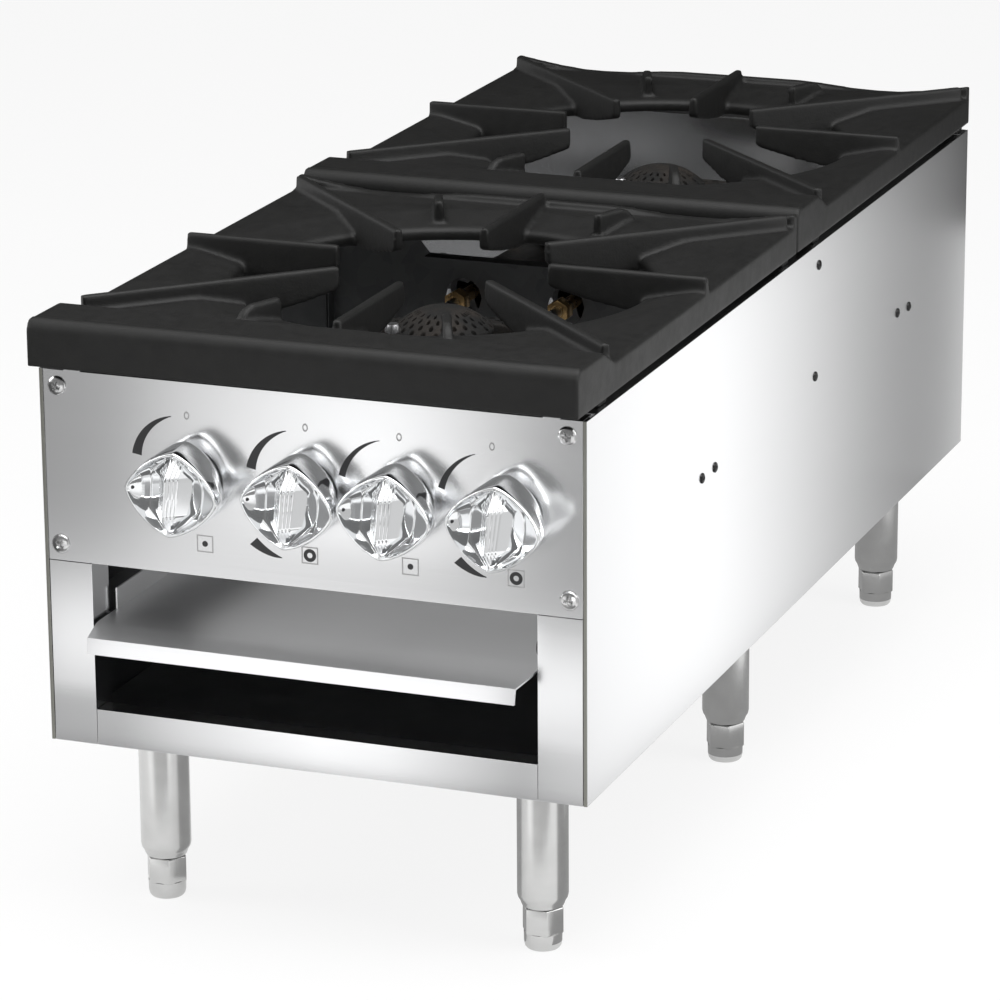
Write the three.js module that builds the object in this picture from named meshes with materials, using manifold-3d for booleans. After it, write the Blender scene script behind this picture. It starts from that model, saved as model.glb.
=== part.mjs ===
// Stock pot range: a low, free-standing gas range with two large ring burners one behind
// the other, each under a radial-finned cast-iron top grate.
//
// Millimetres, +Z up, floor at z = 0. While it is modelled, x = 0 is the mid-plane, y = 0 is
// the front face of the body and +Y runs to the back; the finished group is moved back so
// that the origin sits on the floor under the centre of the whole range.

import * as THREE from 'three';
import { mergeVertices } from 'three/addons/utils/BufferGeometryUtils.js';
import Module from 'manifold-3d';

const wasm = await Module();
wasm.setup();

// ---------------------------------------------------------------- driving dimensions

const WIDTH = 457;               // body, side to side
const DEPTH = 1067;              // body, front face to back face
const BASE_Z = 152;              // underside of the body
const DECK_Z = 461;              // top edge of the body panels
const SHEET = 1.5;               // stainless sheet
const GAP = 0.3;                 // clearance between neighbouring pieces

const PANEL_Z = 304;             // lower edge of the control panel
const POST_X = 188;              // opening edge of the front posts
const HEM = 3.2;                 // folded front edge of the side panels
const RAIL_Z = 182;              // top edge of the front lower rail
const FLANGE = 20;               // ordinary folded flange

const GRATE_FRONT = -20;         // front skirt of the front grate
const GRATE_LENGTH = 544.5;
const GRATE_PITCH = 546.5;       // front grate to rear grate
const SKIRT_Z = 467;             // lower edge of the grate skirt
const PAN_Z = 492;               // flat top of the grate casting
const FIN_Z = 504.5;             // pot-bearing tops of the fins
const CAST = 10;                 // casting thickness
const BOWL_R = 175;              // opening of the bowl
const BOWL_TOP_R = 222;          // where the bowl runs out into the flat top
const FIN_INNER_R = 92;          // inner ends of the long fins
const FIN_THICK = 9;
const CREST_Y = 41;              // rear edge of the raised front band
const NOTCH_Y = 63;              // foot of the slope behind it

const BURNER_Y = 285;            // centre of the front burner and grate
const MIX_Z = 386;               // axis of the mixing tubes
const MOUTH_BACK = 215;          // mixing tube mouth, ahead of the burner centre
const INNER_X = -100;            // mixing tube of the inner ring
const OUTER_X = -3;              // mixing tube of the outer rings
const RING_BASE = 404;           // the burner rings and the arms between them
const RING_TOP = 420;
const CRADLE_Z = 343;            // top of the burner cradles
const PORT_R = 3;

const KNOB_XS = [-100, -3, 77, 166];
const KNOB_Z = 380;
const STEM_R = 4;
const KNOB_REACH = 39.4;         // centre to blunt corner
const KNOB_HEIGHT = 37.5;        // centre to top
const KNOB_POWER = 1.5;          // 1 is a rhombus, 2 an ellipse
const KNOB_FACE = -38;           // front rim of the knob
const RIDGE_FOOT = 22;           // half the width of the grip ridge where it meets the hollows

const TRAY_Z = 256;              // crumb tray floor
const TRAY_X = 185;
const PARTITION_Y = 585;

const LEG_X = 164.5;
const LEG_YS = [73, 535, 1000];
const LEG_R = 20.6;
const FOOT_TOP = 36;             // bottom of the leg tube, top of the foot's head

const PIPE_X = 203;              // gas run along the right side
const PIPE_Z = 300;
const MANIFOLD_Y = 36;
const MANIFOLD_Z = 345;
const MANIFOLD_END = 189;
const FRONT_REACH = -52;         // foremost point, the knob crowns
const BACK_REACH = 1097;         // rearmost point, the gas inlet coupling

const half = WIDTH / 2;
const inside = half - SHEET;                 // inner face of a side panel
const burnerYs = [BURNER_Y, BURNER_Y + GRATE_PITCH];

// ---------------------------------------------------------------- materials

function metal(color, roughness, metalness) {
  return new THREE.MeshStandardMaterial({ color, roughness, metalness });
}

const stainless = metal(0xc9cbcc, 0.35, 1);
const galvanised = metal(0x9b9d9c, 0.5, 1);
const castIron = metal(0x2b2b2a, 0.75, 0.3);
const burnerIron = metal(0x3a3937, 0.8, 0.4);
const chrome = metal(0xdfe1e2, 0.12, 1);
const nickel = metal(0xb9b6ae, 0.35, 1);
const brass = metal(0xb08a4a, 0.35, 1);
const steelPipe = metal(0x5b5c5c, 0.5, 1);
const aluminium = metal(0xa7a9aa, 0.45, 1);

// ---------------------------------------------------------------- geometry helpers

function signedVolume(position, index) {
  const [a, b, c] = [new THREE.Vector3(), new THREE.Vector3(), new THREE.Vector3()];
  let volume = 0;
  for (let i = 0; i < index.length; i += 3) {
    a.fromBufferAttribute(position, index[i]);
    b.fromBufferAttribute(position, index[i + 1]);
    c.fromBufferAttribute(position, index[i + 2]);
    volume += a.dot(b.cross(c)) / 6;
  }
  return volume;
}

// A closed three.js geometry as a solid, its faces pointing out.
function solidOf(geometry) {
  geometry.deleteAttribute('normal');
  geometry.deleteAttribute('uv');
  const merged = mergeVertices(geometry, 1e-4);
  const source = merged.index.array;
  const index = [];
  for (let i = 0; i < source.length; i += 3) {
    const [a, b, c] = [source[i], source[i + 1], source[i + 2]];
    if (a !== b && b !== c && a !== c) {
      index.push(a, b, c);
    }
  }
  if (signedVolume(merged.attributes.position, index) < 0) {
    index.reverse();
  }
  return new wasm.Manifold(new wasm.Mesh({
    numProp: 3,
    vertProperties: new Float32Array(merged.attributes.position.array),
    triVerts: new Uint32Array(index),
  }));
}

function join(...solids) {
  return solids.flat().reduce((total, next) => total.add(next));
}

function cut(body, ...tools) {
  return tools.flat().reduce((rest, tool) => rest.subtract(tool), body);
}

// A box between two corners, given in any order.
function slab(x0, x1, y0, y1, z0, z1) {
  const size = [Math.abs(x1 - x0), Math.abs(y1 - y0), Math.abs(z1 - z0)];
  const box = new THREE.BoxGeometry(...size);
  box.translate((x0 + x1) / 2, (y0 + y1) / 2, (z0 + z1) / 2);
  return solidOf(box);
}

// A profile of [radius, height] pairs turned about a vertical axis through (x, y).
function turned(profile, x, y, segments = 16) {
  const points = profile.map(([r, h]) => new THREE.Vector2(r, h));
  const shape = new THREE.LatheGeometry(points, segments);
  shape.rotateX(Math.PI / 2);
  shape.translate(x, y, 0);
  return solidOf(shape);
}

// The same about an axis along +Y through (x, z): pairs are [radius, y].
function turnedAlongY(profile, x, z, segments = 16) {
  const points = profile.map(([r, h]) => new THREE.Vector2(r, h));
  const shape = new THREE.LatheGeometry(points, segments);
  shape.translate(x, 0, z);
  return solidOf(shape);
}

function rod(r, x, y, z0, z1, segments = 12) {
  return turned([[0, z0], [r, z0], [r, z1], [0, z1]], x, y, segments);
}

function rodAlongY(r, x, z, y0, y1, segments = 12) {
  return turnedAlongY([[0, y0], [r, y0], [r, y1], [0, y1]], x, z, segments);
}

function rodAlongX(r, y, z, x0, x1, segments = 12) {
  const shape = new THREE.CylinderGeometry(r, r, x1 - x0, segments);
  shape.rotateZ(Math.PI / 2);
  shape.translate((x0 + x1) / 2, y, z);
  return solidOf(shape);
}

function shapeOf(points) {
  return new THREE.Shape(points.map(([u, v]) => new THREE.Vector2(u, v)));
}

// An outline in (y, z) carried from x0 to x1.
function carriedAlongX(shape, x0, x1, curveSegments = 4) {
  const solid = new THREE.ExtrudeGeometry(shape, {
    depth: x1 - x0, bevelEnabled: false, curveSegments,
  });
  solid.rotateY(Math.PI / 2);
  solid.rotateX(Math.PI / 2);
  solid.translate(x0, 0, 0);
  return solidOf(solid);
}

// An outline in (x, z) carried from y0 to y1.
function carriedAlongY(shape, y0, y1, curveSegments = 4) {
  const solid = new THREE.ExtrudeGeometry(shape, {
    depth: y1 - y0, bevelEnabled: false, curveSegments,
  });
  solid.rotateX(Math.PI / 2);
  solid.translate(0, y1, 0);
  return solidOf(solid);
}

// An outline in (x, y) carried up from z0 to z1.
function carriedUp(shape, z0, z1, curveSegments = 4) {
  const solid = new THREE.ExtrudeGeometry(shape, {
    depth: z1 - z0, bevelEnabled: false, curveSegments,
  });
  solid.translate(0, 0, z0);
  return solidOf(solid);
}

function circleShape(r, sides) {
  const points = [];
  for (let i = 0; i < sides; i += 1) {
    const angle = (2 * Math.PI * i) / sides;
    points.push([r * Math.cos(angle), r * Math.sin(angle)]);
  }
  return shapeOf(points);
}

// A path that visits its knots one step apart, so straight runs need no rings in between.
class KnotPath extends THREE.Curve {
  constructor(knots) {
    super();
    this.knots = knots;
  }

  getPoint(t, target = new THREE.Vector3()) {
    const last = this.knots.length - 1;
    const i = Math.min(Math.floor(t * last + 1e-6), last - 1);
    return target.lerpVectors(this.knots[i], this.knots[i + 1], t * last - i);
  }

  getPointAt(u, target) {
    return this.getPoint(u, target);
  }

  getTangentAt(u, target = new THREE.Vector3()) {
    const last = this.knots.length - 1;
    const i = Math.round(u * last);
    const here = this.knots[i];
    const into = here.clone().sub(this.knots[Math.max(i - 1, 0)]).normalize();
    const out = this.knots[Math.min(i + 1, last)].clone().sub(here).normalize();
    return target.copy(into).add(out).normalize();
  }
}

// A round bar through the given points, its bends rounded in a few steps.
function bentBar(points, r, sides = 8, bend = 14, bendSteps = 2) {
  const corners = points.map((p) => new THREE.Vector3(...p));
  const last = corners.length - 1;
  const knots = [corners[0]];
  for (let i = 1; i < last; i += 1) {
    const corner = corners[i];
    const start = corners[i - 1].clone().sub(corner).setLength(bend).add(corner);
    const end = corners[i + 1].clone().sub(corner).setLength(bend).add(corner);
    knots.push(...new THREE.QuadraticBezierCurve3(start, corner, end).getPoints(bendSteps));
  }
  knots.push(corners[last]);
  const solid = new THREE.ExtrudeGeometry(circleShape(r, sides), {
    steps: knots.length - 1, extrudePath: new KnotPath(knots), bevelEnabled: false,
  });
  return solidOf(solid);
}

const assembly = new THREE.Group();
assembly.position.y = -(FRONT_REACH + BACK_REACH) / 2;

function place(name, solid, material) {
  const { vertProperties, triVerts } = solid.getMesh();
  const geometry = new THREE.BufferGeometry();
  geometry.setAttribute('position', new THREE.BufferAttribute(vertProperties, 3));
  geometry.setIndex(new THREE.BufferAttribute(triVerts, 1));
  geometry.computeVertexNormals();
  const mesh = new THREE.Mesh(geometry, material);
  mesh.name = name;
  assembly.add(mesh);
}

// ---------------------------------------------------------------- body panels

// side is -1 for the left panel and 1 for the right one.
function sidePanel(side) {
  const lip = side * (half - 22);
  return join(
    slab(side * inside, side * half, 0, DEPTH, BASE_Z, DECK_Z),
    slab(side * (half - HEM), side * half, 0, 12, BASE_Z, DECK_Z),
    slab(lip, side * half, 24, DEPTH - 24, DECK_Z - SHEET, DECK_Z),
    slab(lip, lip + side * SHEET, 24, DEPTH - 24, DECK_Z - 14, DECK_Z),
    slab(side * (half - 32), side * half, 34, DEPTH - 24, BASE_Z, BASE_Z + SHEET),
  );
}

function backPanel() {
  const edge = inside - GAP;
  const sheet = join(
    slab(-edge, edge, DEPTH - SHEET, DEPTH, BASE_Z, DECK_Z),
    slab(-edge, -edge + SHEET, DEPTH - FLANGE, DEPTH, BASE_Z, DECK_Z),
    slab(edge - SHEET, edge, DEPTH - FLANGE, DEPTH, BASE_Z, DECK_Z),
    slab(-edge, edge, DEPTH - FLANGE, DEPTH, DECK_Z - SHEET, DECK_Z),
    slab(-edge, edge, DEPTH - FLANGE, DEPTH, BASE_Z, BASE_Z + SHEET),
  );
  return cut(sheet, rodAlongY(13, PIPE_X, PIPE_Z, DEPTH - 5, DEPTH + 5, 16));
}

function controlPanel() {
  const edge = half - HEM - GAP;
  const sheet = join(
    slab(-edge, edge, 0, SHEET, PANEL_Z, DECK_Z),
    slab(-edge, edge, 0, FLANGE, DECK_Z - SHEET, DECK_Z),
    slab(-POST_X + 2, POST_X - 2, 0, FLANGE, PANEL_Z, PANEL_Z + SHEET),
    slab(-207, -193, 0, SHEET, DECK_Z - 2, DECK_Z + 11),
    slab(193, 207, 0, SHEET, DECK_Z - 2, DECK_Z + 11),
  );
  return cut(sheet, KNOB_XS.map((x) => rodAlongY(7, x, KNOB_Z, -5, 5, 8)));
}

function frontPost(side) {
  const outer = half - HEM - GAP;
  const top = PANEL_Z - GAP;
  return join(
    slab(side * POST_X, side * outer, 0, SHEET, BASE_Z, top),
    slab(side * POST_X, side * (POST_X + SHEET), 0, 30, BASE_Z, top),
    slab(side * (outer - SHEET), side * outer, 0, FLANGE, BASE_Z, top),
  );
}

function frontLowerRail() {
  const edge = POST_X - GAP;
  return join(
    slab(-edge, edge, 0, SHEET, BASE_Z, RAIL_Z),
    slab(-edge, edge, 0, FLANGE, RAIL_Z - SHEET, RAIL_Z),
    slab(-edge, edge, 0, FLANGE, BASE_Z, BASE_Z + SHEET),
  );
}

function basePanel() {
  const z = BASE_Z + SHEET + GAP;
  return slab(-(inside - GAP), inside - GAP, 31, DEPTH - FLANGE - GAP, z, z + SHEET);
}

// Cross baffle under the joint of the two grates; the rear burner's supply passes through it.
function burnerPartition() {
  const edge = inside - GAP;
  const outline = shapeOf([
    [-edge, 334], [edge, 334], [edge, 446], [150, 446],
    [132, 424], [-132, 424], [-150, 446], [-edge, 446],
  ]);
  const sheet = join(
    carriedAlongY(outline, PARTITION_Y, PARTITION_Y + SHEET),
    slab(-132, 132, PARTITION_Y - 14, PARTITION_Y + SHEET, 424 - SHEET, 424),
    slab(-edge, SHEET - edge, PARTITION_Y - 12, PARTITION_Y + SHEET, 334, 440),
    slab(edge - SHEET, edge, PARTITION_Y - 12, PARTITION_Y + SHEET, 334, 440),
  );
  const holes = [INNER_X, OUTER_X].map(
    (x) => rodAlongY(17, x, MIX_Z, PARTITION_Y - 5, PARTITION_Y + 5),
  );
  return cut(sheet, holes);
}

// ---------------------------------------------------------------- crumb tray

// Floor with low sides and back; the front is a downward-sloping lip with a turned-down face,
// narrowed a little towards its front edge.
function crumbTray() {
  const wall = 18;
  const back = DEPTH - 42;
  const lipZ = TRAY_Z - 4;
  const sheet = shapeOf([
    [back, TRAY_Z], [3, TRAY_Z], [-28, lipZ], [-30, lipZ - 13], [-28.5, lipZ - 13],
    [-26.7, lipZ - SHEET], [3, TRAY_Z - SHEET], [back, TRAY_Z - SHEET],
  ]);
  const plan = shapeOf([
    [-TRAY_X, back + 5], [-TRAY_X, -2], [6 - TRAY_X, -35], [TRAY_X - 6, -35], [TRAY_X, -2],
    [TRAY_X, back + 5],
  ]);
  const floor = carriedAlongX(sheet, -TRAY_X - 5, TRAY_X + 5)
    .intersect(carriedUp(plan, TRAY_Z - 30, TRAY_Z + 5));
  const edge = TRAY_X - 0.5;
  const low = TRAY_Z - 1;
  const high = TRAY_Z + wall;
  return join(
    floor,
    slab(-edge, SHEET - edge, 34, back - 1, low, high),
    slab(edge - SHEET, edge, 34, back - 1, low, high),
    slab(-edge, edge, back - 1 - SHEET, back - 1, low, high),
  );
}

function trayRunner(side) {
  const top = TRAY_Z - SHEET - GAP;
  const outer = inside - GAP;
  return join(
    slab(side * 174, side * outer, 32, DEPTH - 30, top - SHEET, top),
    slab(side * (outer - SHEET), side * outer, 32, DEPTH - 30, top - SHEET, top + 26),
    slab(side * 190, side * (190 + SHEET), 32, DEPTH - 30, top - SHEET, top + 14),
  );
}

// ---------------------------------------------------------------- legs and feet

function leg(x, y) {
  const plate = 45;
  const tube = turned([
    [8.6, FOOT_TOP + GAP], [17, FOOT_TOP + GAP], [LEG_R, FOOT_TOP + 6],
    [LEG_R, BASE_Z - 2], [8.6, BASE_Z - 2], [8.6, FOOT_TOP + GAP],
  ], x, y, 14);
  return join(tube, slab(x - plate, x + plate, y - plate, y + plate, BASE_Z - 3, BASE_Z - GAP));
}

// Bullet foot: a round nose under a hexagon, with the spigot that screws up into the leg.
function adjustableFoot(x, y) {
  return join(
    turned([[0, 0], [12.5, 0], [15.6, 4], [15.6, 14], [0, 14]], x, y, 10),
    turned([[0, 13], [17.6, 13], [17.6, FOOT_TOP], [0, FOOT_TOP]], x, y, 6),
    rod(8, x, y, FOOT_TOP - 1, 78, 8),
  );
}

// ---------------------------------------------------------------- top grates

// Front band of the casting: a deep rolled face, a nearly flat top and a slope to the pan.
function grateFrontBand(y0) {
  const face = y0;
  const crest = y0 - GRATE_FRONT + CREST_Y;
  const notch = y0 - GRATE_FRONT + NOTCH_Y;
  const band = new THREE.Shape();
  band.moveTo(face, SKIRT_Z);
  band.lineTo(face, FIN_Z - 10);
  band.quadraticCurveTo(face + 1, FIN_Z + 1, face + 11, FIN_Z + 1);
  band.lineTo(face + 15, FIN_Z - 0.6);
  band.lineTo(crest, FIN_Z);
  band.lineTo(notch, PAN_Z);
  band.lineTo(notch, PAN_Z - CAST);
  band.lineTo(crest - 4, FIN_Z - CAST);
  band.lineTo(face + 14, FIN_Z - CAST - 1);
  band.quadraticCurveTo(face + 9, FIN_Z - CAST - 2, face + 9, FIN_Z - CAST - 9);
  band.lineTo(face + 9, SKIRT_Z);
  return carriedAlongX(band, -half, half, 3);
}

// The solid side of the front band, closing its profile at both ends.
function grateBandEnds(y0) {
  const crest = y0 - GRATE_FRONT + CREST_Y;
  const notch = y0 - GRATE_FRONT + NOTCH_Y;
  const end = new THREE.Shape();
  end.moveTo(y0, SKIRT_Z);
  end.lineTo(y0, FIN_Z - 10);
  end.quadraticCurveTo(y0 + 1, FIN_Z + 1, y0 + 11, FIN_Z + 1);
  end.lineTo(y0 + 15, FIN_Z - 0.6);
  end.lineTo(crest, FIN_Z);
  end.lineTo(notch, PAN_Z);
  end.lineTo(notch, SKIRT_Z);
  return [carriedAlongX(end, -half, -half + 9, 3), carriedAlongX(end, half - 9, half, 3)];
}

// Back rim: low in the middle of each half and swept up into the rear corners.
function grateBackRim(y1) {
  const rim = new THREE.Shape();
  rim.moveTo(-half, SKIRT_Z);
  rim.lineTo(-half, FIN_Z - 2);
  rim.quadraticCurveTo(-185, PAN_Z + 1, -139, PAN_Z + 1);
  rim.quadraticCurveTo(-110, PAN_Z + 5, -80, PAN_Z + 5);
  rim.lineTo(80, PAN_Z + 5);
  rim.quadraticCurveTo(110, PAN_Z + 5, 139, PAN_Z + 1);
  rim.quadraticCurveTo(185, PAN_Z + 1, half, FIN_Z - 2);
  rim.lineTo(half, SKIRT_Z);
  return carriedAlongY(rim, y1 - 9, y1, 4);
}

// A fin drawn as [radius, z] pairs and stood on the line from the burner centre at an angle.
function fin(outline, angle, centreY) {
  const solid = new THREE.ExtrudeGeometry(shapeOf(outline), {
    depth: FIN_THICK, bevelEnabled: false,
  });
  solid.rotateX(Math.PI / 2);
  solid.translate(0, FIN_THICK / 2, 0);
  solid.rotateZ(angle);
  solid.translate(0, centreY, 0);
  return solidOf(solid);
}

function longFinOutline(reach) {
  return [
    [FIN_INNER_R, FIN_Z], [reach, FIN_Z], [reach, PAN_Z - CAST + 2],
    [BOWL_TOP_R, PAN_Z - CAST + 2], [BOWL_R + 6, 471], [BOWL_R - 12, 471],
    [FIN_INNER_R + 16, 481], [FIN_INNER_R + 3, 484.5], [FIN_INNER_R, 488],
  ];
}

function shortFinOutline() {
  return [
    [187, 480], [186, FIN_Z - 2], [188, FIN_Z], [217, FIN_Z], [224, FIN_Z - 3],
    [231, PAN_Z - 2], [231, PAN_Z - 6], [200, 480],
  ];
}

function topGrate(centreY) {
  const y0 = centreY - BURNER_Y + GRATE_FRONT;
  const y1 = y0 + GRATE_LENGTH;
  const notch = y0 - GRATE_FRONT + NOTCH_Y;
  const round = 40;
  const plate = cut(
    slab(-half, half, notch - 2, y1, PAN_Z - CAST, PAN_Z),
    rod(BOWL_TOP_R, 0, centreY, PAN_Z - CAST - 5, PAN_Z + 5, round),
  );
  const skirts = [-1, 1].map(
    (side) => slab(side * half, side * (half - 9), notch - 2, y1, SKIRT_Z, PAN_Z),
  );
  const bowl = turned([
    [BOWL_R, PAN_Z - 2 * CAST], [BOWL_R, PAN_Z - CAST], [BOWL_TOP_R, PAN_Z],
    [BOWL_TOP_R + 9, PAN_Z], [BOWL_TOP_R + 9, PAN_Z - CAST], [BOWL_TOP_R, PAN_Z - CAST],
    [BOWL_R, PAN_Z - 2 * CAST],
  ], 0, centreY, round).intersect(slab(-half, half, y0, y1, SKIRT_Z, FIN_Z));
  const footprint = slab(-half, half, y0 + 9, y1, SKIRT_Z, FIN_Z + 5);
  const fins = [];
  for (let i = 0; i < 8; i += 1) {
    const angle = (i * Math.PI) / 4;
    const cornerward = i % 2 === 1;
    const frontward = i > 4;
    const toFront = cornerward ? (NOTCH_Y - BURNER_Y) * -Math.SQRT2 + 12 : BURNER_Y - NOTCH_Y + 8;
    const toBack = cornerward ? 330 : 250;
    fins.push(fin(longFinOutline(frontward ? toFront : toBack), angle, centreY));
  }
  for (const degrees of [67.5, 112.5, 247.5, 292.5]) {
    fins.push(fin(shortFinOutline(), THREE.MathUtils.degToRad(degrees), centreY));
  }
  const lugs = [];
  for (const side of [-1, 1]) {
    for (const y of [y0 + 58, y1 - 28]) {
      lugs.push(slab(side * (half - 20), side * (half - 4), y, y + 18, DECK_Z + GAP, PAN_Z - 4));
    }
  }
  return join(
    plate, skirts, bowl, grateFrontBand(y0), grateBandEnds(y0), grateBackRim(y1),
    join(fins).intersect(footprint), lugs,
  );
}

// ---------------------------------------------------------------- burners

// Round pockets, the gas ports, on a circle round the burner centre.
function ports(count, radius, centreY, z0, z1) {
  const drills = [];
  for (let i = 0; i < count; i += 1) {
    const angle = (2 * Math.PI * (i + 0.5)) / count;
    const x = radius * Math.cos(angle);
    const y = centreY + radius * Math.sin(angle);
    drills.push(rod(PORT_R, x, y, z0, z1, 4));
  }
  return drills;
}

// Bell mouth, throat and straight of a mixing tube, hollow from its mouth inwards.
function mixingTube(x, mouthY, endY) {
  return turnedAlongY([
    [0, mouthY + 46], [9, mouthY + 40], [11, mouthY + 22], [20, mouthY], [23, mouthY],
    [15.5, mouthY + 26], [15.5, endY], [0, endY],
  ], x, MIX_Z, 12);
}

function innerBurner(centreY) {
  const mouthY = centreY - MOUTH_BACK;
  const elbow = bentBar([
    [INNER_X, mouthY + 60, MIX_Z], [INNER_X, centreY - 88, MIX_Z], [0, centreY, MIX_Z],
  ], 14.6, 10, 40, 3);
  const column = turned([
    [0, CRADLE_Z + GAP], [20, CRADLE_Z + GAP], [20, 349], [12, 354], [12, MIX_Z],
    [14.6, MIX_Z], [14.6, 398], [22, 398], [22, RING_BASE - GAP], [14.6, RING_BASE - GAP],
    [14.6, 430],
    [0, 430],
  ], 0, centreY, 12);
  const head = turned([
    [0, 428], [28, 428], [40, 438], [39, 447], [28, 457], [0, 460],
  ], 0, centreY, 20);
  const body = join(mixingTube(INNER_X, mouthY, mouthY + 66), elbow, column, head);
  return cut(
    body,
    ports(6, 33.5, centreY, 446, 470),
  );
}

// One ring of the burner, its sides drawn in a little towards the top.
function burnerRing(innerR, outerR, centreY) {
  return turned([
    [innerR, RING_BASE], [innerR + 2, RING_TOP], [outerR - 2, RING_TOP], [outerR, RING_BASE],
    [innerR, RING_BASE],
  ], 0, centreY, 30);
}

function outerBurner(centreY) {
  const mouthY = centreY - MOUTH_BACK;
  const riserY = centreY - 116;
  const collar = turned([
    [15.2, RING_BASE], [24, RING_BASE], [24, 416], [15.2, 416], [15.2, RING_BASE],
  ], 0, centreY, 12);
  const arm = shapeOf([[20, RING_BASE], [118, RING_BASE], [118, 414], [20, 414]]);
  const arms = [45, 135, 225, 315].map((degrees) => {
    const solid = new THREE.ExtrudeGeometry(arm, { depth: 14, bevelEnabled: false });
    solid.rotateX(Math.PI / 2);
    solid.translate(0, 7, 0);
    solid.rotateZ(THREE.MathUtils.degToRad(degrees));
    solid.translate(0, centreY, 0);
    return solidOf(solid);
  });
  const riser = turned([
    [0, MIX_Z - 15], [15.5, MIX_Z - 13], [15.5, MIX_Z], [13, RING_BASE], [13, 414], [0, 414],
  ], OUTER_X, riserY, 10);
  const body = join(
    burnerRing(56, 78, centreY), burnerRing(104, 128, centreY), collar, arms, riser,
    mixingTube(OUTER_X, mouthY, riserY),
  );
  return cut(
    body,
    ports(8, 67, centreY, RING_TOP - 5, 460),
    ports(12, 116, centreY, RING_TOP - 5, 460),
  );
}

// Slotted disc that turns on the mouth of a mixing tube to set the air.
function airShutter(x, mouthY) {
  const disc = turnedAlongY([
    [9, mouthY - 2.3], [24, mouthY - 2.3], [24, mouthY - GAP], [9, mouthY - GAP],
    [9, mouthY - 2.3],
  ], x, MIX_Z, 12);
  const tab = slab(x + 22, x + 31, mouthY - 2.3, mouthY - GAP, MIX_Z - 5, MIX_Z + 5);
  const windows = [0, 120, 240].map((degrees) => {
    const angle = THREE.MathUtils.degToRad(degrees + 60);
    return rodAlongY(4.6, x + 15.8 * Math.cos(angle), MIX_Z + 15.8 * Math.sin(angle),
      mouthY - 5, mouthY + 2, 4);
  });
  return cut(join(disc, tab), windows);
}

function burnerCradle(centreY) {
  const edge = inside - GAP;
  return join(
    slab(-edge, edge, centreY - 18, centreY + 18, CRADLE_Z - 2.5, CRADLE_Z),
    slab(-edge, edge, centreY - 18, centreY - 15.5, CRADLE_Z - 14, CRADLE_Z),
    slab(-edge, edge, centreY + 15.5, centreY + 18, CRADLE_Z - 14, CRADLE_Z),
    slab(-edge, -edge + 2.5, centreY - 27, centreY + 27, 323, 352),
    slab(edge - 2.5, edge, centreY - 27, centreY + 27, 323, 352),
  );
}

// ---------------------------------------------------------------- gas train

// A valve with its spindle at x and its outlet at outletX.
function gasValve(x, outletX) {
  const spigot = rod(8, x, MANIFOLD_Y, MANIFOLD_Z + 13.4 + GAP, KNOB_Z, 8);
  const body = turnedAlongY([
    [0, 14], [9, 14], [14, 20], [14, 46], [0, 52],
  ], x, KNOB_Z, 10);
  const outlet = rodAlongY(6.5, outletX, MIX_Z, 30, 58, 8);
  return cut(join(body, spigot, outlet), rodAlongY(STEM_R + GAP, x, KNOB_Z, 10, 26));
}

// D-shaped spindle that carries the knob.
function valveStem(x) {
  const flat = slab(x - 5, x + 5, -25, 4, KNOB_Z + 2.6, KNOB_Z + 8);
  return cut(rodAlongY(STEM_R, x, KNOB_Z, -24, 24), flat);
}

function gasManifold() {
  const left = -140;
  return join(
    rodAlongX(13.4, MANIFOLD_Y, MANIFOLD_Z, left, MANIFOLD_END, 16),
    rodAlongX(16.5, MANIFOLD_Y, MANIFOLD_Z, left, left + 16, 6),
    rodAlongX(16.5, MANIFOLD_Y, MANIFOLD_Z, MANIFOLD_END - 12, MANIFOLD_END, 6),
  );
}

// Pipe from the manifold's right end, down and along the side to the rear inlet coupling.
function gasInletPipe() {
  const y = MANIFOLD_Y;
  const run = bentBar([
    [MANIFOLD_END + GAP, y, MANIFOLD_Z], [PIPE_X, y, MANIFOLD_Z], [PIPE_X, y + 44, PIPE_Z],
    [PIPE_X, BACK_REACH - 10, PIPE_Z],
  ], 10.6, 12, 8, 3);
  const coupling = rodAlongY(16.5, PIPE_X, PIPE_Z, DEPTH + 2, BACK_REACH, 8);
  return cut(join(run, coupling), rodAlongY(10, PIPE_X, PIPE_Z, BACK_REACH - 22, BACK_REACH + 5));
}

// Brass jet that stands in the shutter's centre hole; the rear pair carry a nut as well.
function orificeHood(x, startY, mouthY, nut) {
  const parts = [
    rodAlongY(6.5, x, MIX_Z, startY, mouthY - 5, 10),
    rodAlongY(5, x, MIX_Z, startY, mouthY + 3, 10),
  ];
  if (nut) {
    parts.push(rodAlongY(11, x, MIX_Z, startY, startY + 15, 6));
  }
  return join(parts);
}

// Tube from a right-hand valve, under the front burner and up to the rear burner's jet.
function rearFeedTube(fromX, toX, endY) {
  const run = 318;
  return bentBar([
    [fromX, 58 + GAP, MIX_Z], [fromX, 78, MIX_Z], [fromX, 112, run], [fromX, 430, run],
    [toX, 520, run], [toX, 545, MIX_Z], [toX, endY, MIX_Z],
  ], 5, 8, 9);
}

// Standing pilot: a fine tube up between the burner rings with a hooded tip.
function pilot(startX, run, centreY) {
  const tipX = -8;
  const tipY = centreY - 91;
  const tube = bentBar([
    [startX, MANIFOLD_Y + 13.4 + GAP, MANIFOLD_Z], [startX, 64, MANIFOLD_Z],
    [startX, 76, run], [startX, tipY - 60, run], [tipX, tipY - 20, run], [tipX, tipY, run + 16],
    [tipX, tipY, 445],
  ], 3, 5, 5);
  const tip = turned([
    [0, 440], [4.6, 440], [6.4, 454], [6.4, 464], [5, 468], [0, 468],
  ], tipX, tipY, 8);
  return cut(join(tube, tip), slab(tipX, tipX + 12, tipY - 12, tipY + 12, 456, 461));
}

// ---------------------------------------------------------------- control knobs

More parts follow.
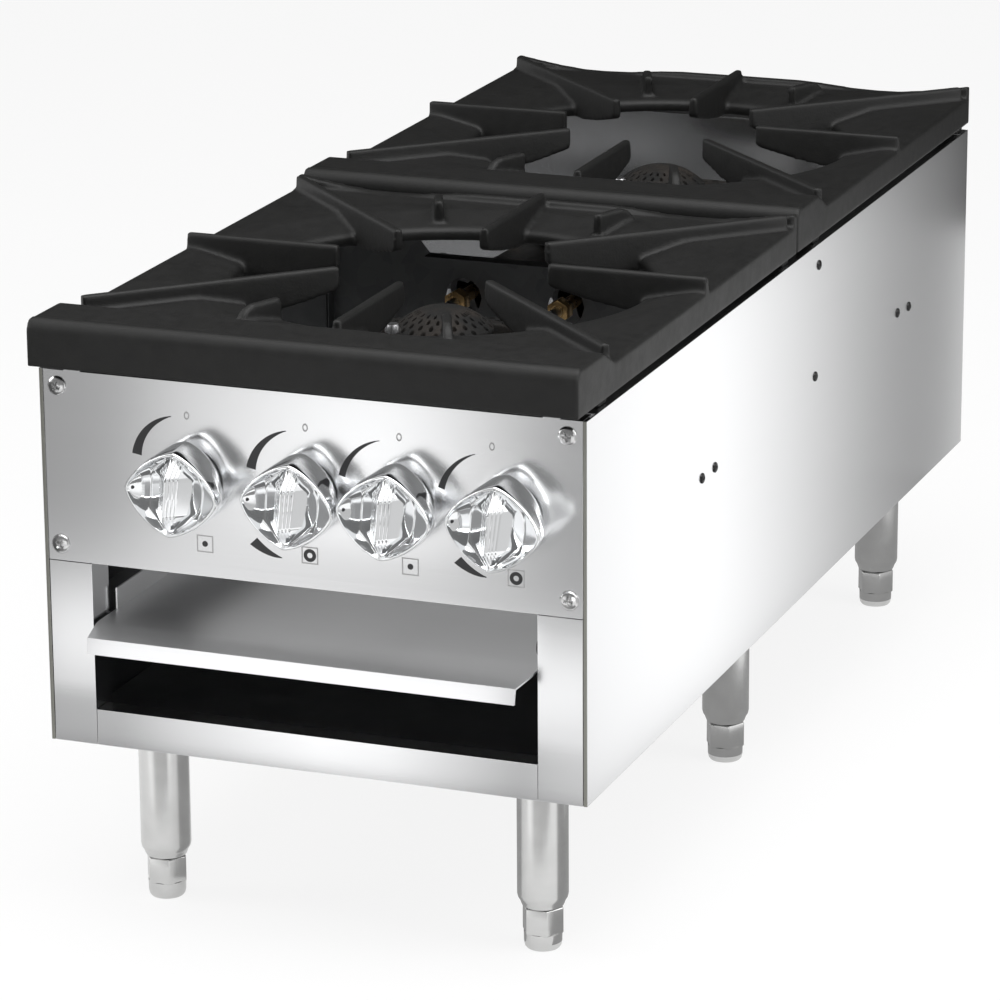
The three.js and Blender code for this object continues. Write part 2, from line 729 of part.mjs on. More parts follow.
// Outline of the grip in (x, z), a rhombus with bowed sides.
function knobOutline() {
  const sides = 32;
  const swell = 2 / KNOB_POWER;
  const points = [];
  for (let i = 0; i < sides; i += 1) {
    const angle = (2 * Math.PI * i) / sides;
    const [across, up] = [Math.cos(angle), Math.sin(angle)];
    points.push([
      KNOB_REACH * Math.sign(across) * Math.abs(across) ** swell,
      KNOB_HEIGHT * Math.sign(up) * Math.abs(up) ** swell,
    ]);
  }
  return shapeOf(points);
}

// The face is hollowed along x: a trough in the middle that runs out to both blunt corners.
function knobHollow() {
  const depth = 13;
  const spread = 1.75;
  const trough = new THREE.CylinderGeometry(depth, depth, 2 * RIDGE_FOOT, 16);
  trough.rotateZ(Math.PI / 2);
  trough.scale(1, 1, spread);
  trough.translate(0, KNOB_FACE, 0);
  const length = KNOB_REACH - RIDGE_FOOT;
  const ends = [-1, 1].map((side) => {
    const cone = new THREE.ConeGeometry(depth, length, 16);
    cone.rotateZ(side * -Math.PI / 2);
    cone.scale(1, 1, spread);
    cone.translate(side * (RIDGE_FOOT + length / 2), KNOB_FACE, 0);
    return solidOf(cone);
  });
  return join(solidOf(trough), ends);
}

function knob(x) {
  const grip = carriedAlongY(knobOutline(), KNOB_FACE, -4)
    .intersect(carriedAlongX(shapeOf([
      [KNOB_FACE, -34.5], [-14, -KNOB_HEIGHT], [-4, -28],
      [-4, 28], [-14, KNOB_HEIGHT], [KNOB_FACE, 34.5],
    ]), -KNOB_REACH, KNOB_REACH))
    .intersect(carriedUp(shapeOf([
      [-KNOB_REACH, KNOB_FACE], [-KNOB_REACH, -28], [-33, -12], [-27, -4],
      [27, -4], [33, -12], [KNOB_REACH, -28], [KNOB_REACH, KNOB_FACE],
    ]), -KNOB_HEIGHT, KNOB_HEIGHT));
  const foot = new THREE.Shape();
  foot.moveTo(0, 31);
  foot.quadraticCurveTo(14, 17, RIDGE_FOOT, 0);
  foot.quadraticCurveTo(14, -17, 0, -31);
  foot.quadraticCurveTo(-14, -17, -RIDGE_FOOT, 0);
  foot.quadraticCurveTo(-14, 17, 0, 31);
  const crown = new THREE.Shape();
  crown.moveTo(KNOB_FACE - 2, 31);
  crown.quadraticCurveTo(FRONT_REACH - 12, 0, KNOB_FACE - 2, -31);
  crown.lineTo(-20, -31);
  crown.lineTo(-20, 31);
  const ridge = carriedAlongY(foot, FRONT_REACH, -20, 3)
    .intersect(carriedUp(shapeOf([
      [-27, -20], [-1.5, FRONT_REACH], [1.5, FRONT_REACH], [27, -20],
    ]), -31, 31))
    .intersect(carriedAlongX(crown, -RIDGE_FOOT, RIDGE_FOOT, 8));
  return cut(
    join(cut(grip, knobHollow()), ridge),
    rodAlongY(STEM_R + GAP, 0, 0, -26, 0),
  ).translate([x, 0, KNOB_Z]);
}

// ---------------------------------------------------------------- assembly

place('left_side_panel', sidePanel(-1), stainless);
place('right_side_panel', sidePanel(1), stainless);
place('back_panel', backPanel(), stainless);
place('control_panel', controlPanel(), stainless);
place('left_front_post', frontPost(-1), stainless);
place('right_front_post', frontPost(1), stainless);
place('front_lower_rail', frontLowerRail(), stainless);
place('base_panel', basePanel(), galvanised);
place('burner_partition', burnerPartition(), galvanised);
place('crumb_tray', crumbTray(), stainless);
place('left_tray_runner', trayRunner(-1), galvanised);
place('right_tray_runner', trayRunner(1), galvanised);

['front', 'middle', 'rear'].forEach((row, i) => {
  for (const [hand, side] of [['left', -1], ['right', 1]]) {
    place(`${row}_${hand}_leg`, leg(side * LEG_X, LEG_YS[i]), nickel);
    place(`${row}_${hand}_foot`, adjustableFoot(side * LEG_X, LEG_YS[i]), nickel);
  }
});

// The two left-hand valves feed the front jets straight ahead of them.
const outletXs = [INNER_X, OUTER_X, KNOB_XS[2], KNOB_XS[3]];
KNOB_XS.forEach((x, i) => {
  place(`knob_${i + 1}`, knob(x), chrome);
  place(`valve_stem_${i + 1}`, valveStem(x), brass);
  place(`gas_valve_${i + 1}`, gasValve(x, outletXs[i]), aluminium);
});
place('gas_manifold', gasManifold(), steelPipe);
place('gas_inlet_pipe', gasInletPipe(), steelPipe);

['front', 'rear'].forEach((station, i) => {
  const y = burnerYs[i];
  const mouthY = y - MOUTH_BACK;
  const rear = station === 'rear';
  place(`${station}_top_grate`, topGrate(y), castIron);
  place(`${station}_inner_burner`, innerBurner(y), burnerIron);
  place(`${station}_outer_burner`, outerBurner(y), burnerIron);
  place(`${station}_inner_air_shutter`, airShutter(INNER_X, mouthY), aluminium);
  place(`${station}_outer_air_shutter`, airShutter(OUTER_X, mouthY), aluminium);
  place(`${station}_burner_cradle`, burnerCradle(y), galvanised);
  const hoodY = rear ? PARTITION_Y - 22 : 58 + GAP;
  place(`${station}_inner_orifice`, orificeHood(INNER_X, hoodY, mouthY, rear), brass);
  place(`${station}_outer_orifice`, orificeHood(OUTER_X, hoodY, mouthY, rear), brass);
  place(`${station}_pilot`, pilot(rear ? 34 : -50, rear ? 302 : 361, y), aluminium);
});
place('rear_inner_feed_tube', rearFeedTube(KNOB_XS[2], INNER_X, PARTITION_Y - 22 - GAP), aluminium);
place('rear_outer_feed_tube', rearFeedTube(KNOB_XS[3], OUTER_X, PARTITION_Y - 22 - GAP), aluminium);

export default assembly;
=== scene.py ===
"""A low gas range for stock pots, finished for rendering.

Sizes in the drawing functions are in millimetres, with x = 0 on the mid-plane, y = 0 on the
front face of the body, +Y to the back, +Z up and the floor at zero. Finished pieces are in
metres, in the frame of the packed model.
"""

import functools
import math

import bmesh
import bpy
from mathutils import Euler, Matrix, Vector


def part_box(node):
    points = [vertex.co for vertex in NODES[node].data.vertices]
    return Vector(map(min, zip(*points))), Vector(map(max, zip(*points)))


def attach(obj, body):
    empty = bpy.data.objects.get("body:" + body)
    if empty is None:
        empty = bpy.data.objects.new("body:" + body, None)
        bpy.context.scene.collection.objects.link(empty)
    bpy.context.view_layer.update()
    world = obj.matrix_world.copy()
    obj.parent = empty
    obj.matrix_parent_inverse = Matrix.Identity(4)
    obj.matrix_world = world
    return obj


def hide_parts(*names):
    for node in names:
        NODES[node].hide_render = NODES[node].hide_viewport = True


bl_info = {
    "name": "Stock Pot Range",
    "version": (1, 0, 0),
    "blender": (4, 5, 0),
    "location": "View3D > Sidebar > Range",
    "description": "Builds the finished pieces of a two-burner stock pot range",
    "category": "Object",
}

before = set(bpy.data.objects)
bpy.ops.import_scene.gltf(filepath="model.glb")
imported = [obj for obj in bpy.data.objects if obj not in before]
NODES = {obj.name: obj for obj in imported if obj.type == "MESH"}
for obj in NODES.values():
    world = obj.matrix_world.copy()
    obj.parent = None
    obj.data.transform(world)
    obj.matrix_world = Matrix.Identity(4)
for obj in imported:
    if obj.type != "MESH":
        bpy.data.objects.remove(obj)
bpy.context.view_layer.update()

MM = 0.001
FRONT_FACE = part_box("control_panel")[0].y
TO_ROW = Matrix.Translation((0, FRONT_FACE, 0)) @ Matrix.Scale(MM, 4)
TO_DRAWING = TO_ROW.inverted()
BODY = "range_body"

# Driving sizes in millimetres. A burner's station is the place of its centre from the front.
HALF_WIDTH = 228.5
PITCH = 546.5
BURNER_Y = 285
STATIONS = {"front": BURNER_Y, "rear": BURNER_Y + PITCH}
PARTITION_Y = 585

# grates: the front one's face stands before the body
FRONT_GRATE = -20
GRATE_LENGTH = 544.5
SKIRT_FOOT = 467
PAN_TOP = 492
POT_PLANE = 504.5

# mixing tubes: a mouth lies this far in front of its burner's centre
MOUTH_BACK = 215
MIX_Z = 386
INNER_X = -100
OUTER_X = -3

# valves sit behind the knobs on one manifold, and their outlets end at one plane
KNOB_XS = (INNER_X, OUTER_X, 77, 166)
KNOB_Z = 380
MANIFOLD_Y = 36
MANIFOLD_Z = 345
OUTLET_Y = 58.3
PIPE_X = 203
PIPE_Z = 300
PILOT_X = -8
PILOT_BACK = 91

LEG_X = 164.5
LEG_YS = {"front": 73, "middle": 535, "rear": 1000}
LEG_TOP = 149


# ---------------------------------------------------------------- settings


class RangeSteelSettings(bpy.types.PropertyGroup):
    """Stainless sheet."""

    colour: bpy.props.FloatVectorProperty(
        name="Colour",
        description="Reflected colour of the bare sheet",
        subtype="COLOR",
        size=3,
        min=0,
        max=1,
        default=(0.79, 0.793, 0.8),
    )
    roughness: bpy.props.FloatProperty(
        name="Roughness",
        description="How blurred the sheet's reflections are",
        subtype="FACTOR",
        min=0,
        max=1,
        default=0.2,
    )
    fold_radius: bpy.props.FloatProperty(
        name="Fold Radius",
        description="Rounding of the sheet's folded and cut edges",
        subtype="DISTANCE",
        unit="LENGTH",
        min=0.0001,
        max=0.0007,
        default=0.00045,
    )


class RangeCastingSettings(bpy.types.PropertyGroup):
    """Cast-iron grates."""

    colour: bpy.props.FloatVectorProperty(
        name="Colour",
        description="Colour of the black casting",
        subtype="COLOR",
        size=3,
        min=0,
        max=1,
        default=(0.0075, 0.0075, 0.0072),
    )
    edge_softness: bpy.props.FloatProperty(
        name="Edge Softness",
        description="Rounding that the mould leaves on edges and in corners",
        subtype="DISTANCE",
        unit="LENGTH",
        min=0.0012,
        max=0.004,
        default=0.0019,
    )
    fin_top: bpy.props.FloatProperty(
        name="Fin Top Width",
        description="Width of the pot-bearing top of a fin",
        subtype="DISTANCE",
        unit="LENGTH",
        min=0.004,
        max=0.009,
        default=0.007,
    )


class RangeKnobSettings(bpy.types.PropertyGroup):
    """Chrome control knobs."""

    reach: bpy.props.FloatProperty(
        name="Corner Reach",
        description="Distance from the spindle to the two blunt corners of the grip",
        subtype="DISTANCE",
        unit="LENGTH",
        min=0.036,
        max=0.0394,
        default=0.0392,
    )
    waist: bpy.props.FloatProperty(
        name="Half Height",
        description="Distance from the spindle to the top of the grip",
        subtype="DISTANCE",
        unit="LENGTH",
        min=0.034,
        max=0.0378,
        default=0.0374,
    )
    scoop: bpy.props.FloatProperty(
        name="Scoop Depth",
        description="How far the two finger hollows sink beside the ridge",
        subtype="DISTANCE",
        unit="LENGTH",
        min=0.008,
        max=0.014,
        default=0.0128,
    )
    tilt: bpy.props.FloatProperty(
        name="Tilt",
        description="Turn of the grip about its spindle at rest",
        subtype="ANGLE",
        unit="ROTATION",
        default=math.radians(5),
    )


class RangeBurnerSettings(bpy.types.PropertyGroup):
    """Ring burners."""

    port_margin: bpy.props.FloatProperty(
        name="Port Margin",
        description="Metal left round each gas port",
        subtype="DISTANCE",
        unit="LENGTH",
        min=0.0004,
        max=0.002,
        default=0.0009,
    )
    port_depth: bpy.props.FloatProperty(
        name="Port Depth",
        description="Depth of each gas port",
        subtype="DISTANCE",
        unit="LENGTH",
        min=0.002,
        max=0.01,
        default=0.006,
    )


class RangeStageSettings(bpy.types.PropertyGroup):
    """Floor, lights and camera."""

    floor_colour: bpy.props.FloatVectorProperty(
        name="Floor Colour",
        description="Colour of the floor and the surroundings",
        subtype="COLOR",
        size=3,
        min=0,
        max=1,
        default=(0.9, 0.9, 0.9),
    )
    key_power: bpy.props.FloatProperty(
        name="Key Light",
        description="Power of the large soft light above the range",
        unit="POWER",
        min=0,
        default=60,
    )
    fill: bpy.props.FloatProperty(
        name="Fill",
        description="Strength of the light from all round",
        subtype="FACTOR",
        min=0,
        max=2,
        default=0.55,
    )


# ---------------------------------------------------------------- drawing helpers

DIRECTIONS = {"X": Vector((1, 0, 0)), "Y": Vector((0, 1, 0)), "Z": Vector((0, 0, 1))}


def mm(length):
    """A setting in metres, as millimetres of a drawing."""
    return length / MM


def lathe(bm, outline, axis="Z", centre=(0, 0, 0), steps=64):
    """Turns (radius, along) pairs about an axis; a repeated first pair closes the outline."""
    along = DIRECTIONS[axis]
    outward = DIRECTIONS["Z" if axis == "X" else "X"]
    centre = Vector(centre)
    closed = outline[0] == outline[-1]
    pairs = outline[:-1] if closed else outline
    verts = [bm.verts.new(centre + outward * r + along * h) for r, h in pairs]
    edges = [bm.edges.new(pair) for pair in zip(verts, verts[1:])]
    if closed:
        edges.append(bm.edges.new((verts[-1], verts[0])))
    before = set(bm.verts) - set(verts)
    bmesh.ops.spin(
        bm,
        geom=verts + edges,
        cent=centre,
        axis=along,
        dvec=(0, 0, 0),
        angle=2 * math.pi,
        steps=steps,
        use_merge=True,
        use_normal_flip=False,
        use_duplicate=False,
    )
    made = [v for v in bm.verts if v not in before]
    bmesh.ops.remove_doubles(bm, verts=made, dist=0.001)
    return [v for v in bm.verts if v not in before]


def block(bm, low, high):
    """A box between two corners."""
    low, high = Vector(low), Vector(high)
    made = bmesh.ops.create_cube(bm, size=1)["verts"]
    bmesh.ops.scale(bm, verts=made, vec=high - low)
    bmesh.ops.translate(bm, verts=made, vec=(low + high) / 2)
    return made


def prism(bm, outline, axis, start, end):
    """Carries a closed outline along an axis. It is in (y, z), (x, z) or (x, y)."""
    first, second = {"X": "YZ", "Y": "XZ", "Z": "XY"}[axis]
    along = DIRECTIONS[axis]
    verts = [
        bm.verts.new(DIRECTIONS[first] * u + DIRECTIONS[second] * v + along * start)
        for u, v in outline
    ]
    face = bm.faces.new(verts)
    made = bmesh.ops.extrude_face_region(bm, geom=[face])["geom"]
    moved = [item for item in made if isinstance(item, bmesh.types.BMVert)]
    bmesh.ops.translate(bm, verts=moved, vec=along * (end - start))
    return verts + moved


def turn(bm, verts, angle, axis="Z"):
    matrix = Matrix.Rotation(angle, 3, DIRECTIONS[axis])
    bmesh.ops.rotate(bm, verts=verts, cent=(0, 0, 0), matrix=matrix)


def eased(points, bend, steps=6):
    """The points of a route with each corner rounded off."""
    corners = [Vector(p) for p in points]
    route = [corners[0]]
    for before, corner, after in zip(corners, corners[1:], corners[2:]):
        start = corner + (before - corner).normalized() * bend
        end = corner + (after - corner).normalized() * bend
        for i in range(steps + 1):
            t = i / steps
            route.append(start.lerp(corner, t).lerp(corner.lerp(end, t), t))
    return route + [corners[-1]]


def bar(bm, points, radius, bend=12, sides=5):
    """A round bar along a route, from a curve with a round bevel."""
    curve = bpy.data.curves.new("route", "CURVE")
    curve.dimensions = "3D"
    curve.bevel_depth = radius
    curve.bevel_resolution = sides
    curve.use_fill_caps = True
    route = eased(points, bend)
    spline = curve.splines.new("POLY")
    spline.points.add(len(route) - 1)
    for point, place in zip(spline.points, route):
        point.co = (*place, 1)
    holder = bpy.data.objects.new("route", curve)
    mesh = bpy.data.meshes.new_from_object(holder)
    bm.from_mesh(mesh)
    bpy.data.objects.remove(holder)
    bpy.data.curves.remove(curve)
    bpy.data.meshes.remove(mesh)


def bevel_edges(bm, edges, offset, segments):
    """Rounds the edges."""
    bmesh.ops.bevel(
        bm,
        geom=edges,
        offset=offset,
        offset_type="OFFSET",
        segments=segments,
        profile=0.5,
        affect="EDGES",
        clamp_overlap=True,
        material=-1,
    )


def soften(bm, offset, segments=2, sharper_than=40):
    """Rounds every edge that is sharper than an angle in degrees."""
    limit = math.radians(sharper_than)
    edges = [e for e in bm.edges if len(e.link_faces) == 2 and e.calc_face_angle(0) > limit]
    bevel_edges(bm, edges, offset, segments)


def hexagon(radius, length, rounding, segments=2):
    """A hexagonal head, nut or collar that stands on z = 0, as a drawing of its own."""
    bm = bmesh.new()
    bmesh.ops.create_circle(bm, cap_ends=True, segments=6, radius=radius)
    made = bmesh.ops.extrude_face_region(bm, geom=bm.faces[:])["geom"]
    moved = [item for item in made if isinstance(item, bmesh.types.BMVert)]
    bmesh.ops.translate(bm, verts=moved, vec=(0, 0, length))
    bmesh.ops.recalc_face_normals(bm, faces=bm.faces)
    soften(bm, rounding, segments)
    return bm


def join_drawing(bm, other):
    """Adds another drawing to this one and frees it."""
    bmesh.ops.recalc_face_normals(other, faces=other.faces)
    mesh = bpy.data.meshes.new("joined")
    other.to_mesh(mesh)
    other.free()
    bm.from_mesh(mesh)
    bpy.data.meshes.remove(mesh)


def finished(name, mesh, body, replaces):
    """A finished mesh as a piece that rides on a body and stands for CAD nodes."""
    piece = bpy.data.objects.new(name, mesh)
    bpy.context.scene.collection.objects.link(piece)
    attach(piece, body)
    if replaces:
        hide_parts(*replaces)
    return piece


def place(name, bm, body, *finishes, replaces=(), smooth_below=35):
    """Turns a drawing into a finished piece that rides on a body."""
    bmesh.ops.recalc_face_normals(bm, faces=bm.faces)
    limit = math.radians(smooth_below)
    for face in bm.faces:
        face.smooth = True
    for edge in bm.edges:
        edge.smooth = len(edge.link_faces) == 2 and edge.calc_face_angle(0) < limit
    bm.transform(TO_ROW)
    mesh = bpy.data.meshes.new(name)
    bm.to_mesh(mesh)
    bm.free()
    for finish in finishes:
        mesh.materials.append(finish)
    return finished(name, mesh, body, replaces)


def weighted(piece):
    """Keeps the flats of a folded sheet flat beside its rounded edges."""
    modifier = piece.modifiers.new("flats", "WEIGHTED_NORMAL")
    modifier.keep_sharp = True
    modifier.weight = 80


def copied(node):
    """A merged copy of a CAD node, as a drawing."""
    bm = bmesh.new()
    bm.from_mesh(NODES[node].data)
    bm.transform(TO_DRAWING)
    bmesh.ops.remove_doubles(bm, verts=bm.verts, dist=0.004)
    bmesh.ops.dissolve_limit(
        bm, angle_limit=math.radians(1), verts=bm.verts, edges=bm.edges
    )
    return bm


def folded_sheet(node, body, finish, edge_finish=None, edge_test=None):
    """A sheet-metal node with its cut and folded edges rounded."""
    bm = copied(node)
    radius = mm(bpy.context.scene.range_steel.fold_radius)
    soften(bm, radius, sharper_than=35)
    finishes = [finish]
    if edge_finish:
        finishes.append(edge_finish)
        bm.normal_update()
        for face in bm.faces:
            if edge_test(face.calc_center_median(), face.normal):
                face.material_index = 1
    weighted(place(f"{node}_sheet", bm, body, *finishes, replaces=[node]))


def cast(name, bm, body, finish, grain, replaces=(), smoothing=3, ratio=1.0):
    """Melts overlapping closed shapes into one casting with soft edges and fillets.

    The grain is the melt's voxel size in metres, and the ratio the share of faces that is kept.
    """
    bmesh.ops.recalc_face_normals(bm, faces=bm.faces)
    bm.transform(TO_ROW)
    mesh = bpy.data.meshes.new(name)
    bm.to_mesh(mesh)
    bm.free()
    rough = bpy.data.objects.new(name, mesh)
    bpy.context.scene.collection.objects.link(rough)
    remesh = rough.modifiers.new("melt", "REMESH")
    remesh.mode = "VOXEL"
    remesh.voxel_size = grain
    remesh.use_smooth_shade = True
    relax = rough.modifiers.new("relax", "SMOOTH")
    relax.factor = 0.5
    relax.iterations = smoothing
    if ratio < 1:
        thin = rough.modifiers.new("thin", "DECIMATE")
        thin.ratio = ratio
    graph = bpy.context.evaluated_depsgraph_get()
    final = bpy.data.meshes.new_from_object(rough.evaluated_get(graph))
    bpy.data.objects.remove(rough)
    bpy.data.meshes.remove(mesh)
    final.name = name
    final.materials.clear()
    final.materials.append(finish)
    finished(name, final, body, replaces)


# ---------------------------------------------------------------- finishes


class Signal:
    """A shader socket on which Python arithmetic adds the nodes."""

    def __init__(self, shading, socket):
        self.shading = shading
        self.socket = socket

    def _math(self, operation, *values):
        sockets = dict(enumerate(values))
        return self.shading.node("ShaderNodeMath", {"operation": operation}, sockets)

    def __add__(self, other):
        return self._math("ADD", self, other)

    def __sub__(self, other):
        return self._math("SUBTRACT", self, other)

    def __rsub__(self, other):
        return self._math("SUBTRACT", other, self)

    def __mul__(self, other):
        return self._math("MULTIPLY", self, other)

    __radd__ = __add__
    __rmul__ = __mul__


class Shading:
    """A node tree under construction."""

    def __init__(self, tree):
        self.tree = tree

    def _feed(self, socket, value):
        if isinstance(value, Signal):
            self.tree.links.new(value.socket, socket)
        else:
            socket.default_value = value

    def _stops(self, ramp, stops):
        while len(ramp.elements) < len(stops):
            ramp.elements.new(1)
        for element, (position, level) in zip(ramp.elements, stops):
            element.position = position
            element.color = (level, level, level, 1)

    def node(self, kind, settings, sockets, output=0):
        made = self.tree.nodes.new(kind)
        for setting, value in settings.items():
            if setting == "stops":
                self._stops(made.color_ramp, value)
            else:
                setattr(made, setting, value)
        for socket, value in sockets.items():
            self._feed(made.inputs[socket], value)
        return Signal(self, made.outputs[output])

    def levels(self, signal, stops):
        return self.node("ShaderNodeValToRGB", {"stops": stops}, {"Fac": signal})

    def blend(self, amount, first, second):
        return self.node("ShaderNodeMixShader", {}, {0: amount, 1: first, 2: second})

    def studio_rays(self, metal=1.0):
        """1 for what the camera, glass and, to a share, metal see directly."""
        camera, glossy, through = (
            self.node("ShaderNodeLightPath", {}, {}, f"Is {kind} Ray")
            for kind in ("Camera", "Glossy", "Transmission")
        )
        return camera + glossy * metal + through

    def surface(self, kind, signal):
        self._feed(self.tree.nodes[f"{kind} Output"].inputs["Surface"], signal)


class Finish(Shading):
    """A material under construction."""

    def __init__(self, name, colour, roughness, metallic=0.0, **sockets):
        self.material = bpy.data.materials.new(name)
        self.material.use_nodes = True
        super().__init__(self.material.node_tree)
        self.shader = self.tree.nodes["Principled BSDF"]
        self.material.diffuse_color = (*colour, 1)
        self.set("Base Color", (*colour, 1))
        self.set("Roughness", roughness)
        self.set("Metallic", metallic)
        for socket, value in sockets.items():
            self.set(socket.replace("_", " "), value)

    def set(self, socket, value):
        self._feed(self.shader.inputs[socket], value)

    def space(self, scale=(1, 1, 1)):
        """Object coordinates, stretched."""
        position = self.node("ShaderNodeTexCoord", {}, {}, "Object")
        return self.node("ShaderNodeMapping", {}, {"Vector": position, "Scale": scale})

    def noise(self, scale, detail=3, stretch=(1, 1, 1), rough=0.5):
        sockets = {
            "Vector": self.space(stretch),
            "Scale": scale,
            "Detail": detail,
            "Roughness": rough,
        }
        return self.node("ShaderNodeTexNoise", {}, sockets, "Fac")

    def cells(self, scale):
        """Cells, each of its own colour."""
        sockets = {"Vector": self.space(), "Scale": scale}
        return self.node("ShaderNodeTexVoronoi", {"feature": "F1"}, sockets, "Color")

    def mix(self, amount, first, second):
        """A mix of two colours; a Mix node's colour sockets are its seventh and eighth."""
        sockets = {0: amount, 6: (*first, 1), 7: (*second, 1)}
        return self.node("ShaderNodeMix", {"data_type": "RGBA"}, sockets, 2)

    def relief(self, height, depth, strength=1.0):
        sockets = {"Height": height, "Distance": depth, "Strength": strength}
        self.set("Normal", self.node("ShaderNodeBump", {}, sockets))


def shade(colour, factor):
    return tuple(min(1, c * factor) for c in colour)


def brushed(name, colour, roughness, grain, depth=0.00002):
    """Brushed sheet: fine lines along the grain, with faint handling marks."""
    finish = Finish(name, colour, roughness, 1.0)
    lines = finish.noise(1, 4, grain, 0.65)
    smudge = finish.noise(7, 3)
    finish.set("Base Color", finish.mix(lines, shade(colour, 0.965), shade(colour, 1.03)))
    finish.set("Roughness", roughness - 0.03 + lines * 0.04 + smudge * 0.025)
    finish.relief(lines, depth, 0.12)
    return finish.material


@functools.cache
def stainless():
    steel = bpy.context.scene.range_steel
    return brushed("brushed_stainless", tuple(steel.colour), steel.roughness, (5, 5, 1400))


@functools.cache
def stainless_flat():
    steel = bpy.context.scene.range_steel
    return brushed("stainless_flat", tuple(steel.colour), steel.roughness + 0.2, (4, 1400, 400))


# Painted shade: a darker copy of the stainless for the side panels' front edges, standing in for
# the dark reflection along the hem. The shear marks in roughness and relief are the edge's own.
@functools.cache
def edge_in_painted_shade():
    finish = Finish("sheared_edge_painted_shade", (0.27, 0.27, 0.245), 0.5, 1.0)
    marks = finish.noise(900, 3, (1, 1, 0.2))
    finish.set("Roughness", 0.4 + marks * 0.25)
    finish.relief(marks, 0.0001, 0.4)
    return finish.material


# Painted shade: the sheets inside the body get a colour far darker than bare zinc, for the shade
# they lie in. The spangle and the bloom are the sheet's own.
@functools.cache
def galvanised_in_painted_shade():
    finish = Finish("zinc_sheet_in_painted_shade", (0.11, 0.112, 0.114), 0.45, 0.6)
    spangle = finish.cells(70)
    tone = finish.node("ShaderNodeSeparateColor", {}, {"Color": spangle}, "Red")
    bloom = finish.noise(9, 4)
    finish.set("Base Color", finish.mix(tone, (0.095, 0.097, 0.099), (0.125, 0.127, 0.128)))
    finish.set("Roughness", 0.34 + tone * 0.14 + bloom * 0.1)
    finish.relief(finish.noise(300, 2), 0.00008, 0.3)
    return finish.material


@functools.cache
def black_casting():
    casting = tuple(bpy.context.scene.range_casting.colour)
    finish = Finish("black_casting", casting, 0.5, Specular_IOR_Level=0.28)
    pebble = finish.noise(520, 3, rough=0.6)
    skin = finish.noise(95, 4)
    cloud = finish.noise(14, 3)
    finish.set("Base Color", finish.mix(skin, shade(casting, 0.72), shade(casting, 1.32)))
    finish.set("Roughness", 0.38 + skin * 0.14 + cloud * 0.1)
    finish.relief(pebble * 0.6 + skin, 0.0005, 0.45)
    return finish.material


@functools.cache
def burner_casting():
    colour = (0.011, 0.0108, 0.0105)
    finish = Finish("burner_casting", colour, 0.7, Specular_IOR_Level=0.14)
    pebble = finish.noise(420, 3, rough=0.6)
    scale = finish.levels(finish.noise(38, 5), ((0.45, 0), (0.7, 1)))
    finish.set("Base Color", finish.mix(scale, colour, (0.024, 0.02, 0.017)))
    finish.set("Roughness", 0.55 + pebble * 0.25)
    finish.relief(pebble, 0.0006, 0.6)
    return finish.material


@functools.cache
def bright_chrome():
    finish = Finish("bright_chrome", (0.86, 0.87, 0.88), 0.06, 1.0)
    wipe = finish.noise(60, 4)
    hairline = finish.noise(900, 2, (1, 1, 0.15))
    finish.set("Roughness", 0.035 + wipe * 0.05 + hairline * 0.02)
    finish.relief(wipe, 0.00004, 0.15)
    return finish.material


@functools.cache
def satin_nickel():
    colour = (0.62, 0.62, 0.615)
    finish = Finish("satin_nickel", colour, 0.3, 1.0)
    drawn = finish.noise(1, 3, (900, 900, 14))
    wear = finish.noise(45, 4)
    finish.set("Base Color", finish.mix(wear, shade(colour, 0.86), shade(colour, 1.12)))
    finish.set("Roughness", 0.13 + drawn * 0.14 + wear * 0.06)
    finish.relief(drawn, 0.00004, 0.3)
    return finish.material


@functools.cache
def screw_steel():
    finish = Finish("bright_screw", (0.6, 0.6, 0.6), 0.2, 1.0)
    marks = finish.noise(700, 3)
    finish.set("Roughness", 0.14 + marks * 0.16)
    finish.relief(marks, 0.00005, 0.25)
    return finish.material


# Painted shade: the rivet heads are near-black metal, for the dark look that shading gives them.
@functools.cache
def rivet_in_painted_shade():
    finish = Finish("rivet_in_painted_shade", (0.03, 0.03, 0.03), 0.2, 1.0)
    finish.set("Roughness", 0.15 + finish.noise(700, 3) * 0.12)
    return finish.material


@functools.cache
def turned_brass():
    finish = Finish("turned_brass", (0.62, 0.43, 0.19), 0.28, 1.0)
    tarnish = finish.noise(120, 4)
    finish.set("Base Color", finish.mix(tarnish, (0.5, 0.3, 0.13), (0.68, 0.48, 0.22)))
    finish.set("Roughness", 0.18 + tarnish * 0.22)
    return finish.material


@functools.cache
def cast_aluminium():
    finish = Finish("cast_aluminium", (0.5, 0.5, 0.51), 0.4, 1.0)
    grit = finish.noise(600, 3)
    finish.set("Roughness", 0.3 + grit * 0.25)
    finish.relief(grit, 0.0002, 0.35)
    return finish.material


@functools.cache
def drawn_tube():
    finish = Finish("drawn_tube", (0.58, 0.58, 0.59), 0.3, 1.0)
    haze = finish.noise(60, 4)
    finish.set("Roughness", 0.22 + haze * 0.16)
    return finish.material


@functools.cache
def black_pipe():
    finish = Finish("black_pipe", (0.035, 0.035, 0.036), 0.45, 0.4)
    mill = finish.noise(80, 5)
    finish.set("Base Color", finish.mix(mill, (0.022, 0.022, 0.023), (0.06, 0.058, 0.056)))
    finish.set("Roughness", 0.34 + mill * 0.24)
    finish.relief(mill, 0.0003, 0.3)
    return finish.material


@functools.cache
def printed_ink():
    finish = Finish("printed_ink", (0.012, 0.012, 0.014), 0.4)
    speck = finish.noise(1600, 2)
    finish.set("Base Color", finish.mix(speck, (0.008, 0.008, 0.009), (0.02, 0.02, 0.022)))
    finish.set("Roughness", 0.34 + speck * 0.16)
    return finish.material


